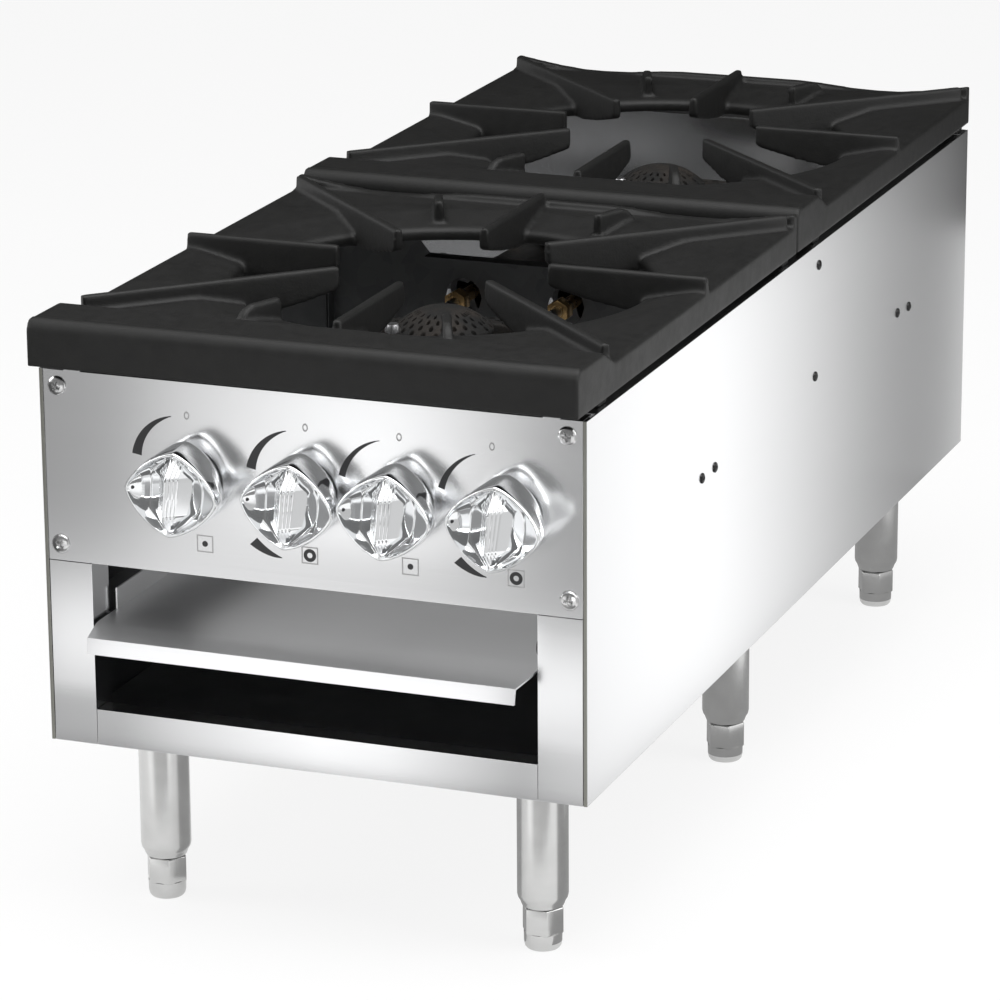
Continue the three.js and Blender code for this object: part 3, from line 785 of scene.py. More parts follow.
@functools.cache
def grey_ink():
    finish = Finish("grey_ink", (0.3, 0.3, 0.3), 0.45)
    speck = finish.noise(1600, 2)
    finish.set("Base Color", finish.mix(speck, (0.24, 0.24, 0.24), (0.36, 0.36, 0.36)))
    finish.set("Roughness", 0.38 + speck * 0.16)
    return finish.material


@functools.cache
def dark_rubber():
    finish = Finish("dark_rubber", (0.02, 0.02, 0.02), 0.65)
    grit = finish.noise(800, 3)
    finish.set("Roughness", 0.55 + grit * 0.2)
    finish.relief(grit, 0.0002, 0.4)
    return finish.material


# ---------------------------------------------------------------- body sheets


class RANGE_OT_panels(bpy.types.Operator):
    """Outer stainless sheets with rounded folds"""

    bl_idname = "range_build.panels"
    bl_label = "Body Panels"

    def front_edge(self, centre, normal):
        """Whether a face of a side panel is its sheared front edge."""
        return abs(centre.x) > HALF_WIDTH - 4.5 and centre.y < 2 and normal.y < -0.6

    def execute(self, context):
        for side in ("left", "right"):
            # the side panels' front edges take the finish with painted shade
            folded_sheet(f"{side}_side_panel", BODY, stainless(), edge_in_painted_shade(), self.front_edge)
            folded_sheet(f"{side}_front_post", BODY, stainless())
        for node in ("back_panel", "control_panel", "front_lower_rail"):
            folded_sheet(node, BODY, stainless())
        # the sheets inside the body take the finish with painted shade
        for node in ("base_panel", "burner_partition", "left_tray_runner", "right_tray_runner"):
            folded_sheet(node, BODY, galvanised_in_painted_shade())
        for station in STATIONS:
            folded_sheet(f"{station}_burner_cradle", BODY, galvanised_in_painted_shade())
        return {"FINISHED"}


class RANGE_OT_tray(bpy.types.Operator):
    """Pull-out crumb tray and the stop on the right post"""

    bl_idname = "range_build.tray"
    bl_label = "Crumb Tray"

    STOP_AT = (187.8, 9, 276)
    STOP_OUTLINE = ((0, 0), (8.6, 0), (8.6, 0.6), (7.8, 1.2), (0, 1.4))

    def execute(self, context):
        folded_sheet("crumb_tray", "tray", stainless_flat())
        x, y, z = self.STOP_AT
        bm = bmesh.new()
        lathe(bm, self.STOP_OUTLINE, "X", (0, y, z), 32)
        bmesh.ops.scale(bm, verts=bm.verts, vec=(-1, 1, 1))
        bmesh.ops.translate(bm, verts=bm.verts, vec=(x, 0, 0))
        place("tray_stop_button", bm, BODY, dark_rubber())
        return {"FINISHED"}


# ---------------------------------------------------------------- fasteners and print


def domed_head(bm, radius, height):
    """A domed screw head on the plane y = 0 with a cross recess."""
    rings, rim = 9, 0.35
    outline = [(0, -height)]
    for i in range(1, rings + 1):
        angle = math.pi / 2 * i / rings
        outline.append((radius * math.sin(angle), -rim - (height - rim) * math.cos(angle)))
    outline += [(radius, 0), (0, 0)]
    verts = lathe(bm, outline, "Y", steps=48)
    arm, half_slot, depth = radius * 0.42, radius * 0.1, height * 0.55
    for vert in verts:
        x, z = abs(vert.co.x), abs(vert.co.z)
        if vert.co.y < -0.5 and min(x, z) < half_slot and max(x, z) < arm:
            vert.co.y += depth
    return verts


class RANGE_OT_fasteners(bpy.types.Operator):
    """Panel screws and side rivets"""

    bl_idname = "range_build.fasteners"
    bl_label = "Screws And Rivets"

    # radius and height of a head, and the places of the heads: (x, z), and (y, z) on each side
    SCREW_HEAD = (7.9, 3.5)
    PANEL_SCREWS = ((-213, 448), (213, 448), (-214, 318), (214, 318))
    RIVET_HEAD = (4.4, 2.1)
    SIDE_RIVETS = ((589, 442), (582, 344), (836, 338), (873, 335), (274, 339), (307, 339))

    def execute(self, context):
        bm = bmesh.new()
        for number, (x, z) in enumerate(self.PANEL_SCREWS):
            verts = domed_head(bm, *self.SCREW_HEAD)
            turn(bm, verts, 0.5 + number * 0.9, "Y")
            bmesh.ops.translate(bm, verts=verts, vec=(x, 0, z))
        place("panel_screws", bm, BODY, screw_steel(), smooth_below=50)
        bm = bmesh.new()
        for side in (-1, 1):
            for number, (y, z) in enumerate(self.SIDE_RIVETS):
                verts = domed_head(bm, *self.RIVET_HEAD)
                turn(bm, verts, 0.3 + number * 0.7, "Y")
                turn(bm, verts, side * math.pi / 2, "Z")
                bmesh.ops.translate(bm, verts=verts, vec=(side * HALF_WIDTH, y, z))
        place("side_rivets", bm, BODY, rivet_in_painted_shade(), smooth_below=50)
        return {"FINISHED"}


# a printed mark stands a hair proud of the panel's front face
INK_FACE = -0.12
INK_BACK = 0.3


def crescent(bm, centre, start, end, radius, wide):
    """A printed arc, thick at its start and thin at its end; a negative width swells outwards."""
    steps, taper, thinnest = 20, 0.7, 0.7
    edge, swollen = [], []
    for i in range(steps + 1):
        t = i / steps
        angle = math.radians(start + (end - start) * t)
        swell = math.copysign(max(abs(wide) * (1 - t) ** taper, thinnest), wide)
        for rim, r in ((edge, radius), (swollen, radius - swell)):
            rim.append((centre[0] + r * math.cos(angle), centre[1] + r * math.sin(angle)))
    prism(bm, edge + swollen[::-1], "Y", INK_FACE, INK_BACK)


def printed_ring(bm, x, z, wide, high, stroke):
    """An oval outline, as in a figure nought; the stroke is a share of the half width."""
    hole = 1 - stroke
    outline = [(1, INK_FACE), (1, INK_BACK), (hole, INK_BACK), (hole, INK_FACE), (1, INK_FACE)]
    verts = lathe(bm, outline, "Y", steps=40)
    bmesh.ops.scale(bm, verts=verts, vec=(wide / 2, 1, high / 2))
    bmesh.ops.translate(bm, verts=verts, vec=(x, 0, z))


def printed_dot(bm, x, z, radius):
    """A filled circle."""
    outline = [(0, INK_FACE), (radius, INK_FACE), (radius, INK_BACK), (0, INK_BACK)]
    verts = lathe(bm, outline, "Y", steps=24)
    bmesh.ops.translate(bm, verts=verts, vec=(x, 0, z))


def printed_square(bm, x, z, half, stroke):
    """A square outline of four strips."""
    hole = half - stroke
    for left, low, right, high in (
        (-half, hole, half, half),
        (-half, -half, half, -hole),
        (-half, -hole, -hole, hole),
        (hole, -hole, half, hole),
    ):
        block(bm, (x + left, INK_FACE, z + low), (x + right, INK_BACK, z + high))


class RANGE_OT_markings(bpy.types.Operator):
    """Printed marks round the knobs"""

    bl_idname = "range_build.markings"
    bl_label = "Printed Marks"

    NOUGHT_XS = (-102, -2, 76, 152)
    NOUGHT_Z = 434
    ICON_XS = (-89, 0, 84, 171)
    ICON_Z = 331
    # centre, angles at which the arc starts and ends, radius and greatest width
    UPPER_MARKS = (
        ((-110.1, 392.7), 170.5, 97.5, 40.0, 8.3),
        ((-11.3, 388.8), 168.0, 99.4, 41.8, 8.1),
        ((66.2, 387.9), 165.0, 98.8, 42.4, 5.8),
        ((148.5, 385.6), 163.8, 104.2, 42.5, 5.6),
    )
    LOWER_MARKS = (
        ((-3, 380), 223.5, 249.0, 57.0, -8.5),
        ((166, 380), 222.4, 249.2, 54.0, -8.0),
    )

    def execute(self, context):
        bm = bmesh.new()
        for mark in self.UPPER_MARKS + self.LOWER_MARKS:
            crescent(bm, *mark)
        for number, x in enumerate(self.ICON_XS):
            if number % 2:
                printed_ring(bm, x, self.ICON_Z, 10.5, 10.5, 0.58)
            else:
                printed_dot(bm, x, self.ICON_Z, 2.4)
        place("panel_marks_black", bm, BODY, printed_ink())
        bm = bmesh.new()
        for x in self.NOUGHT_XS:
            printed_ring(bm, x, self.NOUGHT_Z, 4.6, 6.6, 0.4)
        for x in self.ICON_XS:
            printed_square(bm, x, self.ICON_Z, 7, 1)
        place("panel_marks_grey", bm, BODY, grey_ink())
        return {"FINISHED"}


# ---------------------------------------------------------------- legs and feet


def leg_drawing(x, y):
    """A leg tube with a turned-in foot end, its square plate and the four bolts of the plate."""
    bm = bmesh.new()
    bore, low = 8.6, 36.3
    outline = [
        (bore, low), (15.8, low), (16.8, 36.8), (17.4, 38.2), (18.4, 41), (20.0, 43.6),
        (20.6, 46.5), (20.6, LEG_TOP - 2), (20.9, LEG_TOP), (bore, LEG_TOP), (bore, low),
    ]
    lathe(bm, outline, "Z", (x, y, 0), 72)
    plate = bmesh.new()
    half, thickness, bolt_at = 45, 2.7, 34
    block(plate, (x - half, y - half, LEG_TOP), (x + half, y + half, LEG_TOP + thickness))
    corners = [e for e in plate.edges if abs(e.verts[0].co.z - e.verts[1].co.z) > 1]
    bevel_edges(plate, corners, 9, 5)
    soften(plate, 0.5)
    join_drawing(bm, plate)
    for dx in (-bolt_at, bolt_at):
        for dy in (-bolt_at, bolt_at):
            head = hexagon(6.2, 4.2, 0.6)
            bmesh.ops.translate(head, verts=head.verts, vec=(x + dx, y + dy, LEG_TOP - 4.1))
            join_drawing(bm, head)
    return bm


def foot_drawing(x, y):
    """A bullet foot: rounded pad, hexagonal collar and a thread that goes up into the leg."""
    bm = bmesh.new()
    pad = [(0, 0), (11, 0), (13.4, 0.6), (14.6, 2.2), (15.3, 5), (15.5, 14), (0, 14)]
    lathe(bm, pad, "Z", (x, y, 0), 64)
    collar = hexagon(17.5, 22, 1.1, 3)
    turn(collar, collar.verts, math.radians(30))
    bmesh.ops.translate(collar, verts=collar.verts, vec=(x, y, 13.6))
    join_drawing(bm, collar)
    crest, root, pitch = 7.9, 7.0, 2
    thread = [(0, 35)]
    for i in range(20):
        low = 36 + i * pitch
        thread += [(crest, low), (crest, low + 0.6), (root, low + 1), (root, low + 1.6)]
    thread += [(6.6, 77), (0, 77.6)]
    lathe(bm, thread, "Z", (x, y, 0), 40)
    return bm


class RANGE_OT_legs(bpy.types.Operator):
    """Legs with their mounting plates, and adjustable feet"""

    bl_idname = "range_build.legs"
    bl_label = "Legs And Feet"

    def execute(self, context):
        for row, y in LEG_YS.items():
            for hand, x in (("left", -LEG_X), ("right", LEG_X)):
                corner = f"{row}_{hand}"
                place(f"{corner}_turned_leg", leg_drawing(x, y), BODY, satin_nickel(),
                      replaces=[f"{corner}_leg"])
                place(f"{corner}_bullet_foot", foot_drawing(x, y), f"{corner}_foot_set",
                      satin_nickel(), replaces=[f"{corner}_foot"])
        return {"FINISHED"}


# ---------------------------------------------------------------- knobs


def smooth_max(a, b, blend):
    """The larger of two values, with a fillet where they meet."""
    h = max(blend - abs(a - b), 0) / blend
    return max(a, b) + h * h * blend / 4


def smooth_step(t):
    """Rises gently from 0 to 1 while t does."""
    t = min(max(t, 0), 1)
    return t * t * (3 - 2 * t)


class RANGE_OT_knobs(bpy.types.Operator):
    """Chrome knobs: a round barrel that turns into a diamond grip with two finger hollows"""

    bl_idname = "range_build.knobs"
    bl_label = "Knobs"

    # distances of the face's edge and of the ridge's crest from the panel
    FACE = 38.6
    CREST = 50.5
    # half width of the ridge where it meets the hollows, and the share of the half height
    # from which its crest falls to the face's edge
    RIDGE_FOOT = 21.5
    CREST_END = 0.42
    # grooves along the crest: their places beside its middle, width and depth
    FLUTES = (2.4, 5, 7.6)
    FLUTE_WIDTH = 0.55
    FLUTE_DEPTH = 0.42
    # share of the outline within which the face is hollowed
    FACE_REACH = 0.955
    # radius of the drum that is drawn first and then pushed out to the outline
    ROUND = 34
    BACK = 4
    # distance from the panel, shares of the reach and of the half height, and squareness:
    # 1 would be a rhombus and 2 an ellipse
    SECTIONS = (
        (4, 0.66, 0.71, 2.0),
        (6, 0.72, 0.8, 1.9),
        (9, 0.79, 0.92, 1.75),
        (13, 0.845, 1.0, 1.6),
        (20, 0.91, 0.995, 1.52),
        (28, 0.99, 0.965, 1.48),
        (34, 1.0, 0.94, 1.46),
        (36.5, 0.998, 0.925, 1.46),
        (37.8, 0.988, 0.912, 1.46),
        (38.6, 0.968, 0.89, 1.46),
    )

    def section(self, depth):
        """Shares of the reach and half height, and squareness, at a distance from the panel."""
        for low, high in zip(self.SECTIONS, self.SECTIONS[1:]):
            if depth <= high[0]:
                break
        t = min(max((depth - low[0]) / (high[0] - low[0]), 0), 1)
        return [a + (b - a) * t for a, b in zip(low[1:], high[1:])]

    def outline(self, angle, depth, settings):
        """Distance from the spindle to the outline in one direction."""
        wide, high, power = self.section(depth)
        across = abs(math.cos(angle)) / (wide * mm(settings.reach))
        up = abs(math.sin(angle)) / (high * mm(settings.waist))
        return (across**power + up**power) ** (-1 / power)

    def face_depth(self, x, z, settings):
        """Distance of the face from the panel, at a place on it."""
        _, _, high, power = self.SECTIONS[-1]
        reach = self.FACE_REACH * mm(settings.reach)
        waist = self.FACE_REACH * high * mm(settings.waist)
        spread = waist * max(1 - min(abs(x) / reach, 1) ** power, 0) ** (1 / power)
        run = min((reach - abs(x)) / (reach - self.RIDGE_FOOT), 1)
        across = min(abs(z) / max(spread, 0.01), 1)
        hollow = self.FACE - mm(settings.scoop) * max(run, 0) * math.sqrt(1 - across**2)
        end = smooth_step((abs(z) / waist - self.CREST_END) / (1 - self.CREST_END))
        lip = 0.6
        lift = self.CREST - (self.CREST - self.FACE - lip) * end
        fall = (self.CREST - self.FACE + mm(settings.scoop)) / self.RIDGE_FOOT
        beside = max(abs(x) - 0.5, 0)
        converge = 1 - 0.16 * (1 - z / waist)
        flutes = sum(
            math.exp(-(((abs(x) - at * converge) / self.FLUTE_WIDTH) ** 2)) for at in self.FLUTES
        )
        ridge = lift - fall * beside - self.FLUTE_DEPTH * flutes
        return smooth_max(hollow, ridge, 0.8)

    def drawing(self, settings):
        """A drum, with its side pushed out to the outline and its face in to the hollows."""
        bm = bmesh.new()
        rings = 72
        depths = [38.3, 37.8, 37.2, 36.5, 35.4, 34, 32, 30, 28, 25, 22, 19, 16, 13, 11, 9, 7.5,
                  6, 4.8, 4.2]
        profile = [(self.ROUND * i / rings, -self.FACE) for i in range(rings + 1)]
        profile += [(self.ROUND, -depth) for depth in depths]
        profile += [(self.ROUND - 0.6, -self.BACK), (0, -self.BACK)]
        for vert in lathe(bm, profile, "Y", steps=240):
            x, y, z = vert.co
            radius = math.hypot(x, z)
            back_centre = radius < 0.001 and y > -self.FACE / 2
            if back_centre:
                continue
            edge = self.outline(math.atan2(z, x), -y, settings)
            x, z = (value * edge / self.ROUND for value in (x, z))
            if y < 0.01 - self.FACE:
                rim = smooth_step((radius / self.ROUND - self.FACE_REACH) / 0.02)
                depth = self.face_depth(x, z, settings)
                y = -(depth + (self.FACE - depth) * rim)
            vert.co = (x, y, z)
        return bm

    def pointer(self, settings):
        """A dark dot on the left corner of the grip, which shows the setting."""
        bm = bmesh.new()
        lathe(bm, [(0, -0.5), (1, -0.45), (1.5, -0.1), (1.6, 1.6), (0, 1.6)], "Y", steps=32)
        mark_x = -0.86 * mm(settings.reach)
        seat = -self.face_depth(mark_x, 0, settings)
        bmesh.ops.translate(bm, verts=bm.verts, vec=(mark_x, seat, 0))
        return bm

    def execute(self, context):
        settings = context.scene.range_knobs
        for number, x in enumerate(KNOB_XS, 1):
            for name, bm, finish, nodes in (
                (f"chrome_knob_{number}", self.drawing(settings), bright_chrome(),
                 [f"knob_{number}"]),
                (f"knob_mark_{number}", self.pointer(settings), printed_ink(), []),
            ):
                turn(bm, bm.verts, settings.tilt, "Y")
                bmesh.ops.translate(bm, verts=bm.verts, vec=(x, 0, KNOB_Z))
                place(name, bm, f"knob_{number}_set", finish, replaces=nodes, smooth_below=60)
        return {"FINISHED"}


# ---------------------------------------------------------------- grates


def front_band(bm, y0):
    """The raised front of a grate: rolled face, nearly flat top, slope down to the pan."""
    roll_steps, roll_depth, roll_start, roll_rise = 8, 10, 494, 11.5
    outer = [(y0, SKIRT_FOOT), (y0, roll_start)]
    for i in range(1, roll_steps):
        angle = math.pi / 2 * i / roll_steps
        outer.append((y0 + roll_depth * (1 - math.cos(angle)),
                      roll_start + roll_rise * math.sin(angle)))
    outer += [(y0 + 11, 505.4), (y0 + 14, 504.2), (y0 + 18, 504.6), (y0 + 40, 504.6),
              (y0 + 58, POT_PLANE), (y0 + 62, 503), (y0 + 83, 492.3), (y0 + 88, PAN_TOP)]
    inner = [(y0 + 88, 483), (y0 + 60, 494.5), (y0 + 17, 494.8), (y0 + 10.5, 490), (y0 + 9, 484),
             (y0 + 9, SKIRT_FOOT)]
    prism(bm, outer + inner, "X", -HALF_WIDTH, HALF_WIDTH)
    for side in (-1, 1):
        end = outer[:-1] + [(y0 + 83, SKIRT_FOOT)]
        prism(bm, end, "X", side * (HALF_WIDTH - 8), side * HALF_WIDTH)


def back_rim(bm, y1):
    """Low in the middle of each half and swept up into the rear corners."""
    right = [(0, 497.4), (60, 497.2), (85, 495.8), (112, 493.4), (139, 492.6), (160, 493),
             (184, 495.4), (208, 499), (HALF_WIDTH, 502.6)]
    left = [(-x, z) for x, z in right[:0:-1]]
    outline = [(-HALF_WIDTH, SKIRT_FOOT)] + left + right + [(HALF_WIDTH, SKIRT_FOOT)]
    prism(bm, outline, "Y", y1 - 9, y1)


def fin(bm, outline, angle, centre, top, foot):
    """A fin drawn in (distance from the centre, height), wider at its foot than its top."""
    verts = prism(bm, outline, "Y", -0.5, 0.5)
    height = 28
    for vert in verts:
        share = min(max((POT_PLANE - vert.co.z) / height, 0), 1)
        vert.co.y *= top + (foot - top) * share
    turn(bm, verts, angle)
    bmesh.ops.translate(bm, verts=verts, vec=(0, centre, 0))


def long_fin(bm, angle, reach, centre, top):
    """A fin from the edge of the pan to a blunt nose over the burner."""
    outline = [
        (92.4, 503.6), (93.4, POT_PLANE), (reach, POT_PLANE), (reach, 485), (222, 484),
        (181, 471.6), (163, 471.6), (130, 477), (104, 483), (96, 485), (93, 487.5),
    ]
    fin(bm, outline, angle, centre, top, 10.5)


def short_fin(bm, angle, centre, top):
    """A low fin on the pan between two long ones."""
    outline = [
        (187, 480), (186.4, 503), (188, 504.4), (216, 504.4), (222, 502.6), (228, 498),
        (233, 491), (233, 486), (200, 479),
    ]
    fin(bm, outline, angle, centre, top, 10)


def pan_drawing(centre, y0, y1):
    """A plate with a dished round opening, turned on a lathe and cut off square."""
    pan = bmesh.new()
    hole, beyond = 175.4, 360
    outline = [(hole, 473.4), (177, 472), (180, 472), (224, 482), (beyond, 482), (beyond, PAN_TOP),
               (224, PAN_TOP), (214, 491), (180, 483.4), (176.4, 481.4), (hole, 479), (hole, 473.4)]
    lathe(pan, outline, "Z", (0, centre, 0), 160)
    inset = 1
    for point, normal in (((HALF_WIDTH - inset, 0, 0), (1, 0, 0)),
                          ((inset - HALF_WIDTH, 0, 0), (-1, 0, 0)),
                          ((0, y1 - inset, 0), (0, 1, 0)),
                          ((0, y0 + 80, 0), (0, -1, 0))):
        geom = pan.verts[:] + pan.edges[:] + pan.faces[:]
        cut = bmesh.ops.bisect_plane(
            pan, geom=geom, plane_co=point, plane_no=normal, clear_outer=True
        )["geom_cut"]
        rim = [item for item in cut if isinstance(item, bmesh.types.BMEdge)]
        bmesh.ops.contextual_create(pan, geom=rim)
    bmesh.ops.triangulate(pan, faces=[f for f in pan.faces if len(f.verts) > 4])
    return pan


# how far the long fins reach from the burner's centre, from the right one round by the back
FIN_REACHES = (228.4, 316, 232, 316, 228.4, 312, 226, 312)
SHORT_FINS = (67.5, 112.5, 247.5, 292.5)


def grate_drawing(centre, top):
    """The closed shapes that melt into one grate; they overlap."""
    y0 = centre - BURNER_Y + FRONT_GRATE
    y1 = y0 + GRATE_LENGTH
    bm = bmesh.new()
    join_drawing(bm, pan_drawing(centre, y0, y1))
    front_band(bm, y0)
    back_rim(bm, y1)
    for side in (-1, 1):
        low, high = sorted((side * (HALF_WIDTH - 9), side * HALF_WIDTH))
        block(bm, (low, y0 + 70, SKIRT_FOOT), (high, y1, PAN_TOP))
        for y in (y0 + 58, y1 - 28):
            low, high = sorted((side * (HALF_WIDTH - 20), side * (HALF_WIDTH - 4)))
            block(bm, (low, y, 461.4), (high, y + 18, 488))
    for i, reach in enumerate(FIN_REACHES):
        long_fin(bm, i * math.pi / 4, reach, centre, top)
    for degrees in SHORT_FINS:
        short_fin(bm, math.radians(degrees), centre, top)
    return bm


class RANGE_OT_grates(bpy.types.Operator):
    """Radial-finned top grates, cast in one piece each"""

    bl_idname = "range_build.grates"
    bl_label = "Top Grates"

    def execute(self, context):
        settings = context.scene.range_casting
        for station, centre in STATIONS.items():
            bm = grate_drawing(centre, mm(settings.fin_top))
            cast(f"{station}_cast_grate", bm, f"{station}_grate", black_casting(),
                 settings.edge_softness, replaces=[f"{station}_top_grate"], smoothing=3,
                 ratio=0.5)
        return {"FINISHED"}


# ---------------------------------------------------------------- burners


def staggered(bm, centre, steps, row_of):
    """Every second face of each row round a burner, moved on by one from row to row."""
    chosen = []
    for face in bm.faces:
        middle = face.calc_center_median()
        x, y = middle.x, middle.y - centre
        row = row_of(face, math.hypot(x, y), middle.z)
        column = int(math.atan2(y, x) / (2 * math.pi) * steps + steps + 0.5)
        if row is not None and (row + column) % 2 == 0:
            chosen.append(face)
    return chosen


def drill(bm, faces, settings):
    """Sinks a blind gas port into each of the faces."""
    bmesh.ops.inset_individual(bm, faces=faces, thickness=mm(settings.port_margin))
    made = bmesh.ops.extrude_discrete_faces(bm, faces=faces)["faces"]
    sunk = list({vert for face in made for vert in face.verts})
    bmesh.ops.translate(bm, verts=sunk, vec=(0, 0, -mm(settings.port_depth)))


def drilled_ring(radii, top, foot, steps, rows, centre, settings):
    """A ring whose top carries staggered rows of gas ports."""
    inner, outer = radii
    bm = bmesh.new()
    spread = (outer - inner - 5) / rows
    marks = [inner + 2.5 + spread * i for i in range(rows + 1)]
    outline = [(inner, foot), (inner, foot + 4), (inner, top - 3.5), (inner + 0.8, top - 1)]
    outline += [(r, top) for r in marks]
    outline += [(outer - 0.8, top - 1), (outer, top - 3.5), (outer, foot + 4), (outer, foot),
                (inner, foot)]
    lathe(bm, outline, "Z", (0, centre, 0), steps)
    bmesh.ops.recalc_face_normals(bm, faces=bm.faces)

    def row_of(face, radius, height):
        flat_top = face.normal.z >= 0.9 and height >= top - 0.5
        return int((radius - marks[0]) / spread) if flat_top else None

    drill(bm, staggered(bm, centre, steps, row_of), settings)
    return bm


def drilled_head(centre, settings):
    """The domed head of the inner burner, with ports round its shoulder."""
    bm = bmesh.new()
    steps = 44
    outline = [(0, 428.4), (22, 428.4), (31, 430), (40, 436), (42, 440), (41.2, 443.5),
               (36.5, 447.6), (31, 451.6), (25, 455.2), (18.5, 458), (12, 459.6), (0, 460)]
    lathe(bm, outline, "Z", (0, centre, 0), steps)
    bmesh.ops.recalc_face_normals(bm, faces=bm.faces)

    def row_of(face, radius, height):
        on_shoulder = height >= 443.6 and radius >= 18
        return sum(radius > limit for limit in (25, 31, 36.5)) if on_shoulder else None

    drill(bm, staggered(bm, centre, steps, row_of), settings)
    return bm


def subdivided(piece, levels):
    """Rounds a piece and the rims of its ports."""
    modifier = piece.modifiers.new("rounding", "SUBSURF")
    modifier.levels = levels
    modifier.render_levels = levels


def mixing_tube(bm, x, mouth, end):
    """Bell mouth, throat and straight, hollow from the mouth inwards."""
    outline = [(0, mouth + 46), (8.6, mouth + 40), (10.4, mouth + 22), (13, mouth + 10),
               (19.4, mouth + 0.6), (20.6, mouth), (22.6, mouth), (23, mouth + 1.2),
               (20, mouth + 10), (16.6, mouth + 20), (15.4, mouth + 28), (15.2, end), (0, end)]
    lathe(bm, outline, "Y", (x, 0, MIX_Z), 48)


class RANGE_OT_burners(bpy.types.Operator):
    """Ring burners, their mixing tubes, air shutters and jets"""

    bl_idname = "range_build.burners"
    bl_label = "Burners"

    # name, inner and outer radius, ports round the ring and rows of them
    RINGS = (("middle", (56.4, 77.6), 48, 2), ("outer", (104.4, 127.6), 84, 3))
    RING_TOP = 419.8
    RING_FOOT = 404.2
    ARM_DEGREES = (45, 135, 225, 315)
    INNER_GRAIN = 0.0014
    OUTER_GRAIN = 0.0016

    def inner(self, station, centre, settings):
        """The inner burner: a mixing tube that bends to the centre, a column and a domed head."""
        mouth = centre - MOUTH_BACK
        bm = bmesh.new()
        mixing_tube(bm, INNER_X, mouth, mouth + 66)
        bar(bm, [(INNER_X, mouth + 60, MIX_Z), (INNER_X, centre - 88, MIX_Z), (0, centre, MIX_Z)],
            14.6, 40)
        column = [(0, 343.4), (19, 343.4), (20, 344.6), (19.6, 348.6), (13, 354), (12.2, 360),
                  (12.2, 372), (14.6, 380), (14.6, 398), (21.6, 398.4), (21.6, 403.4),
                  (14.6, 403.7), (14.6, 431), (0, 431)]
        lathe(bm, column, "Z", (0, centre, 0), 64)
        cast(f"{station}_inner_casting", bm, BODY, burner_casting(), self.INNER_GRAIN,
             replaces=[f"{station}_inner_burner"], smoothing=1, ratio=0.6)
        head = drilled_head(centre, settings)
        cap = place(f"{station}_inner_head", head, BODY, burner_casting(), smooth_below=60)
        subdivided(cap, 2)

    def outer(self, station, centre, settings):
        """The outer burner: a mixing tube with a riser, and two rings on four arms."""
        mouth = centre - MOUTH_BACK
        riser_y = centre - 116
        bm = bmesh.new()
        mixing_tube(bm, OUTER_X, mouth, riser_y)
        riser = [(0, 371.4), (11, 372), (15, 377), (15.4, 386), (14, 396), (12.8, 403),
                 (13.2, 412), (0, 412)]
        lathe(bm, riser, "Z", (OUTER_X, riser_y, 0), 48)
        collar = [(15.4, 404.4), (23.6, 404.4), (23.8, 415.6), (15.4, 415.6), (15.4, 404.4)]
        lathe(bm, collar, "Z", (0, centre, 0), 64)
        arm = [(20, 404.4), (117, 404.4), (117, 413.6), (20, 413.6)]
        for degrees in self.ARM_DEGREES:
            verts = prism(bm, arm, "Y", -6.8, 6.8)
            turn(bm, verts, math.radians(degrees))
            bmesh.ops.translate(bm, verts=verts, vec=(0, centre, 0))
        cast(f"{station}_outer_casting", bm, BODY, burner_casting(), self.OUTER_GRAIN,
             replaces=[f"{station}_outer_burner"], smoothing=1, ratio=0.6)
        for label, radii, steps, rows in self.RINGS:
            bm = drilled_ring(
                radii, self.RING_TOP, self.RING_FOOT, steps, rows, centre, settings
            )
            ring = place(f"{station}_{label}_ring", bm, BODY, burner_casting(), smooth_below=60)
            subdivided(ring, 2)

    def shutter(self, station, label, x, mouth):
        """A disc with three lobes open to the air, and a tab to turn it by."""
        bm = bmesh.new()
        front, back = mouth - 2.2, mouth - 0.3
        disc = [(9, front), (23.8, front), (24, front + 0.3), (24, back - 0.3), (23.8, back),
                (9, back), (9, front)]
        verts = lathe(bm, disc, "Y", (x, 0, MIX_Z), 72)
        lobes = 3
        for vert in verts:
            dx, dz = vert.co.x - x, vert.co.z - MIX_Z
            radius = math.hypot(dx, dz)
            wave = 0.5 + 0.5 * math.cos(lobes * (math.atan2(dz, dx) - math.radians(60)))
            if radius < 12:
                grown = radius + 9.5 * smooth_step((wave - 0.35) / 0.4)
                vert.co.x = x + dx * grown / radius
                vert.co.z = MIX_Z + dz * grown / radius
        block(bm, (x + 22, front, MIX_Z - 5), (x + 31, mouth - 0.4, MIX_Z + 5))
        place(f"{station}_{label}_shutter_plate", bm, f"{station}_{label}_shutter",
              cast_aluminium(), replaces=[f"{station}_{label}_air_shutter"])

    def jet(self, station, label, x, start, mouth, nut):
        """A brass jet from its feed to just inside the mouth, with a nut where a tube joins it."""
        bm = bmesh.new()
        end = mouth - 5
        outline = [(0, start), (6.3, start), (6.3, end - 1), (5.6, end), (5, end), (5, mouth + 1.6),
                   (3.4, mouth + 3), (1.1, mouth + 3), (0.9, mouth - 1), (0, mouth - 1)]
        lathe(bm, outline, "Y", (x, 0, MIX_Z), 40)
        if nut:
            collar = hexagon(10.8, 14.6, 0.7)
            turn(collar, collar.verts, -math.pi / 2, "X")
            bmesh.ops.translate(collar, verts=collar.verts, vec=(x, start + 0.2, MIX_Z))
            join_drawing(bm, collar)
        place(f"{station}_{label}_jet", bm, BODY, turned_brass(),
              replaces=[f"{station}_{label}_orifice"])

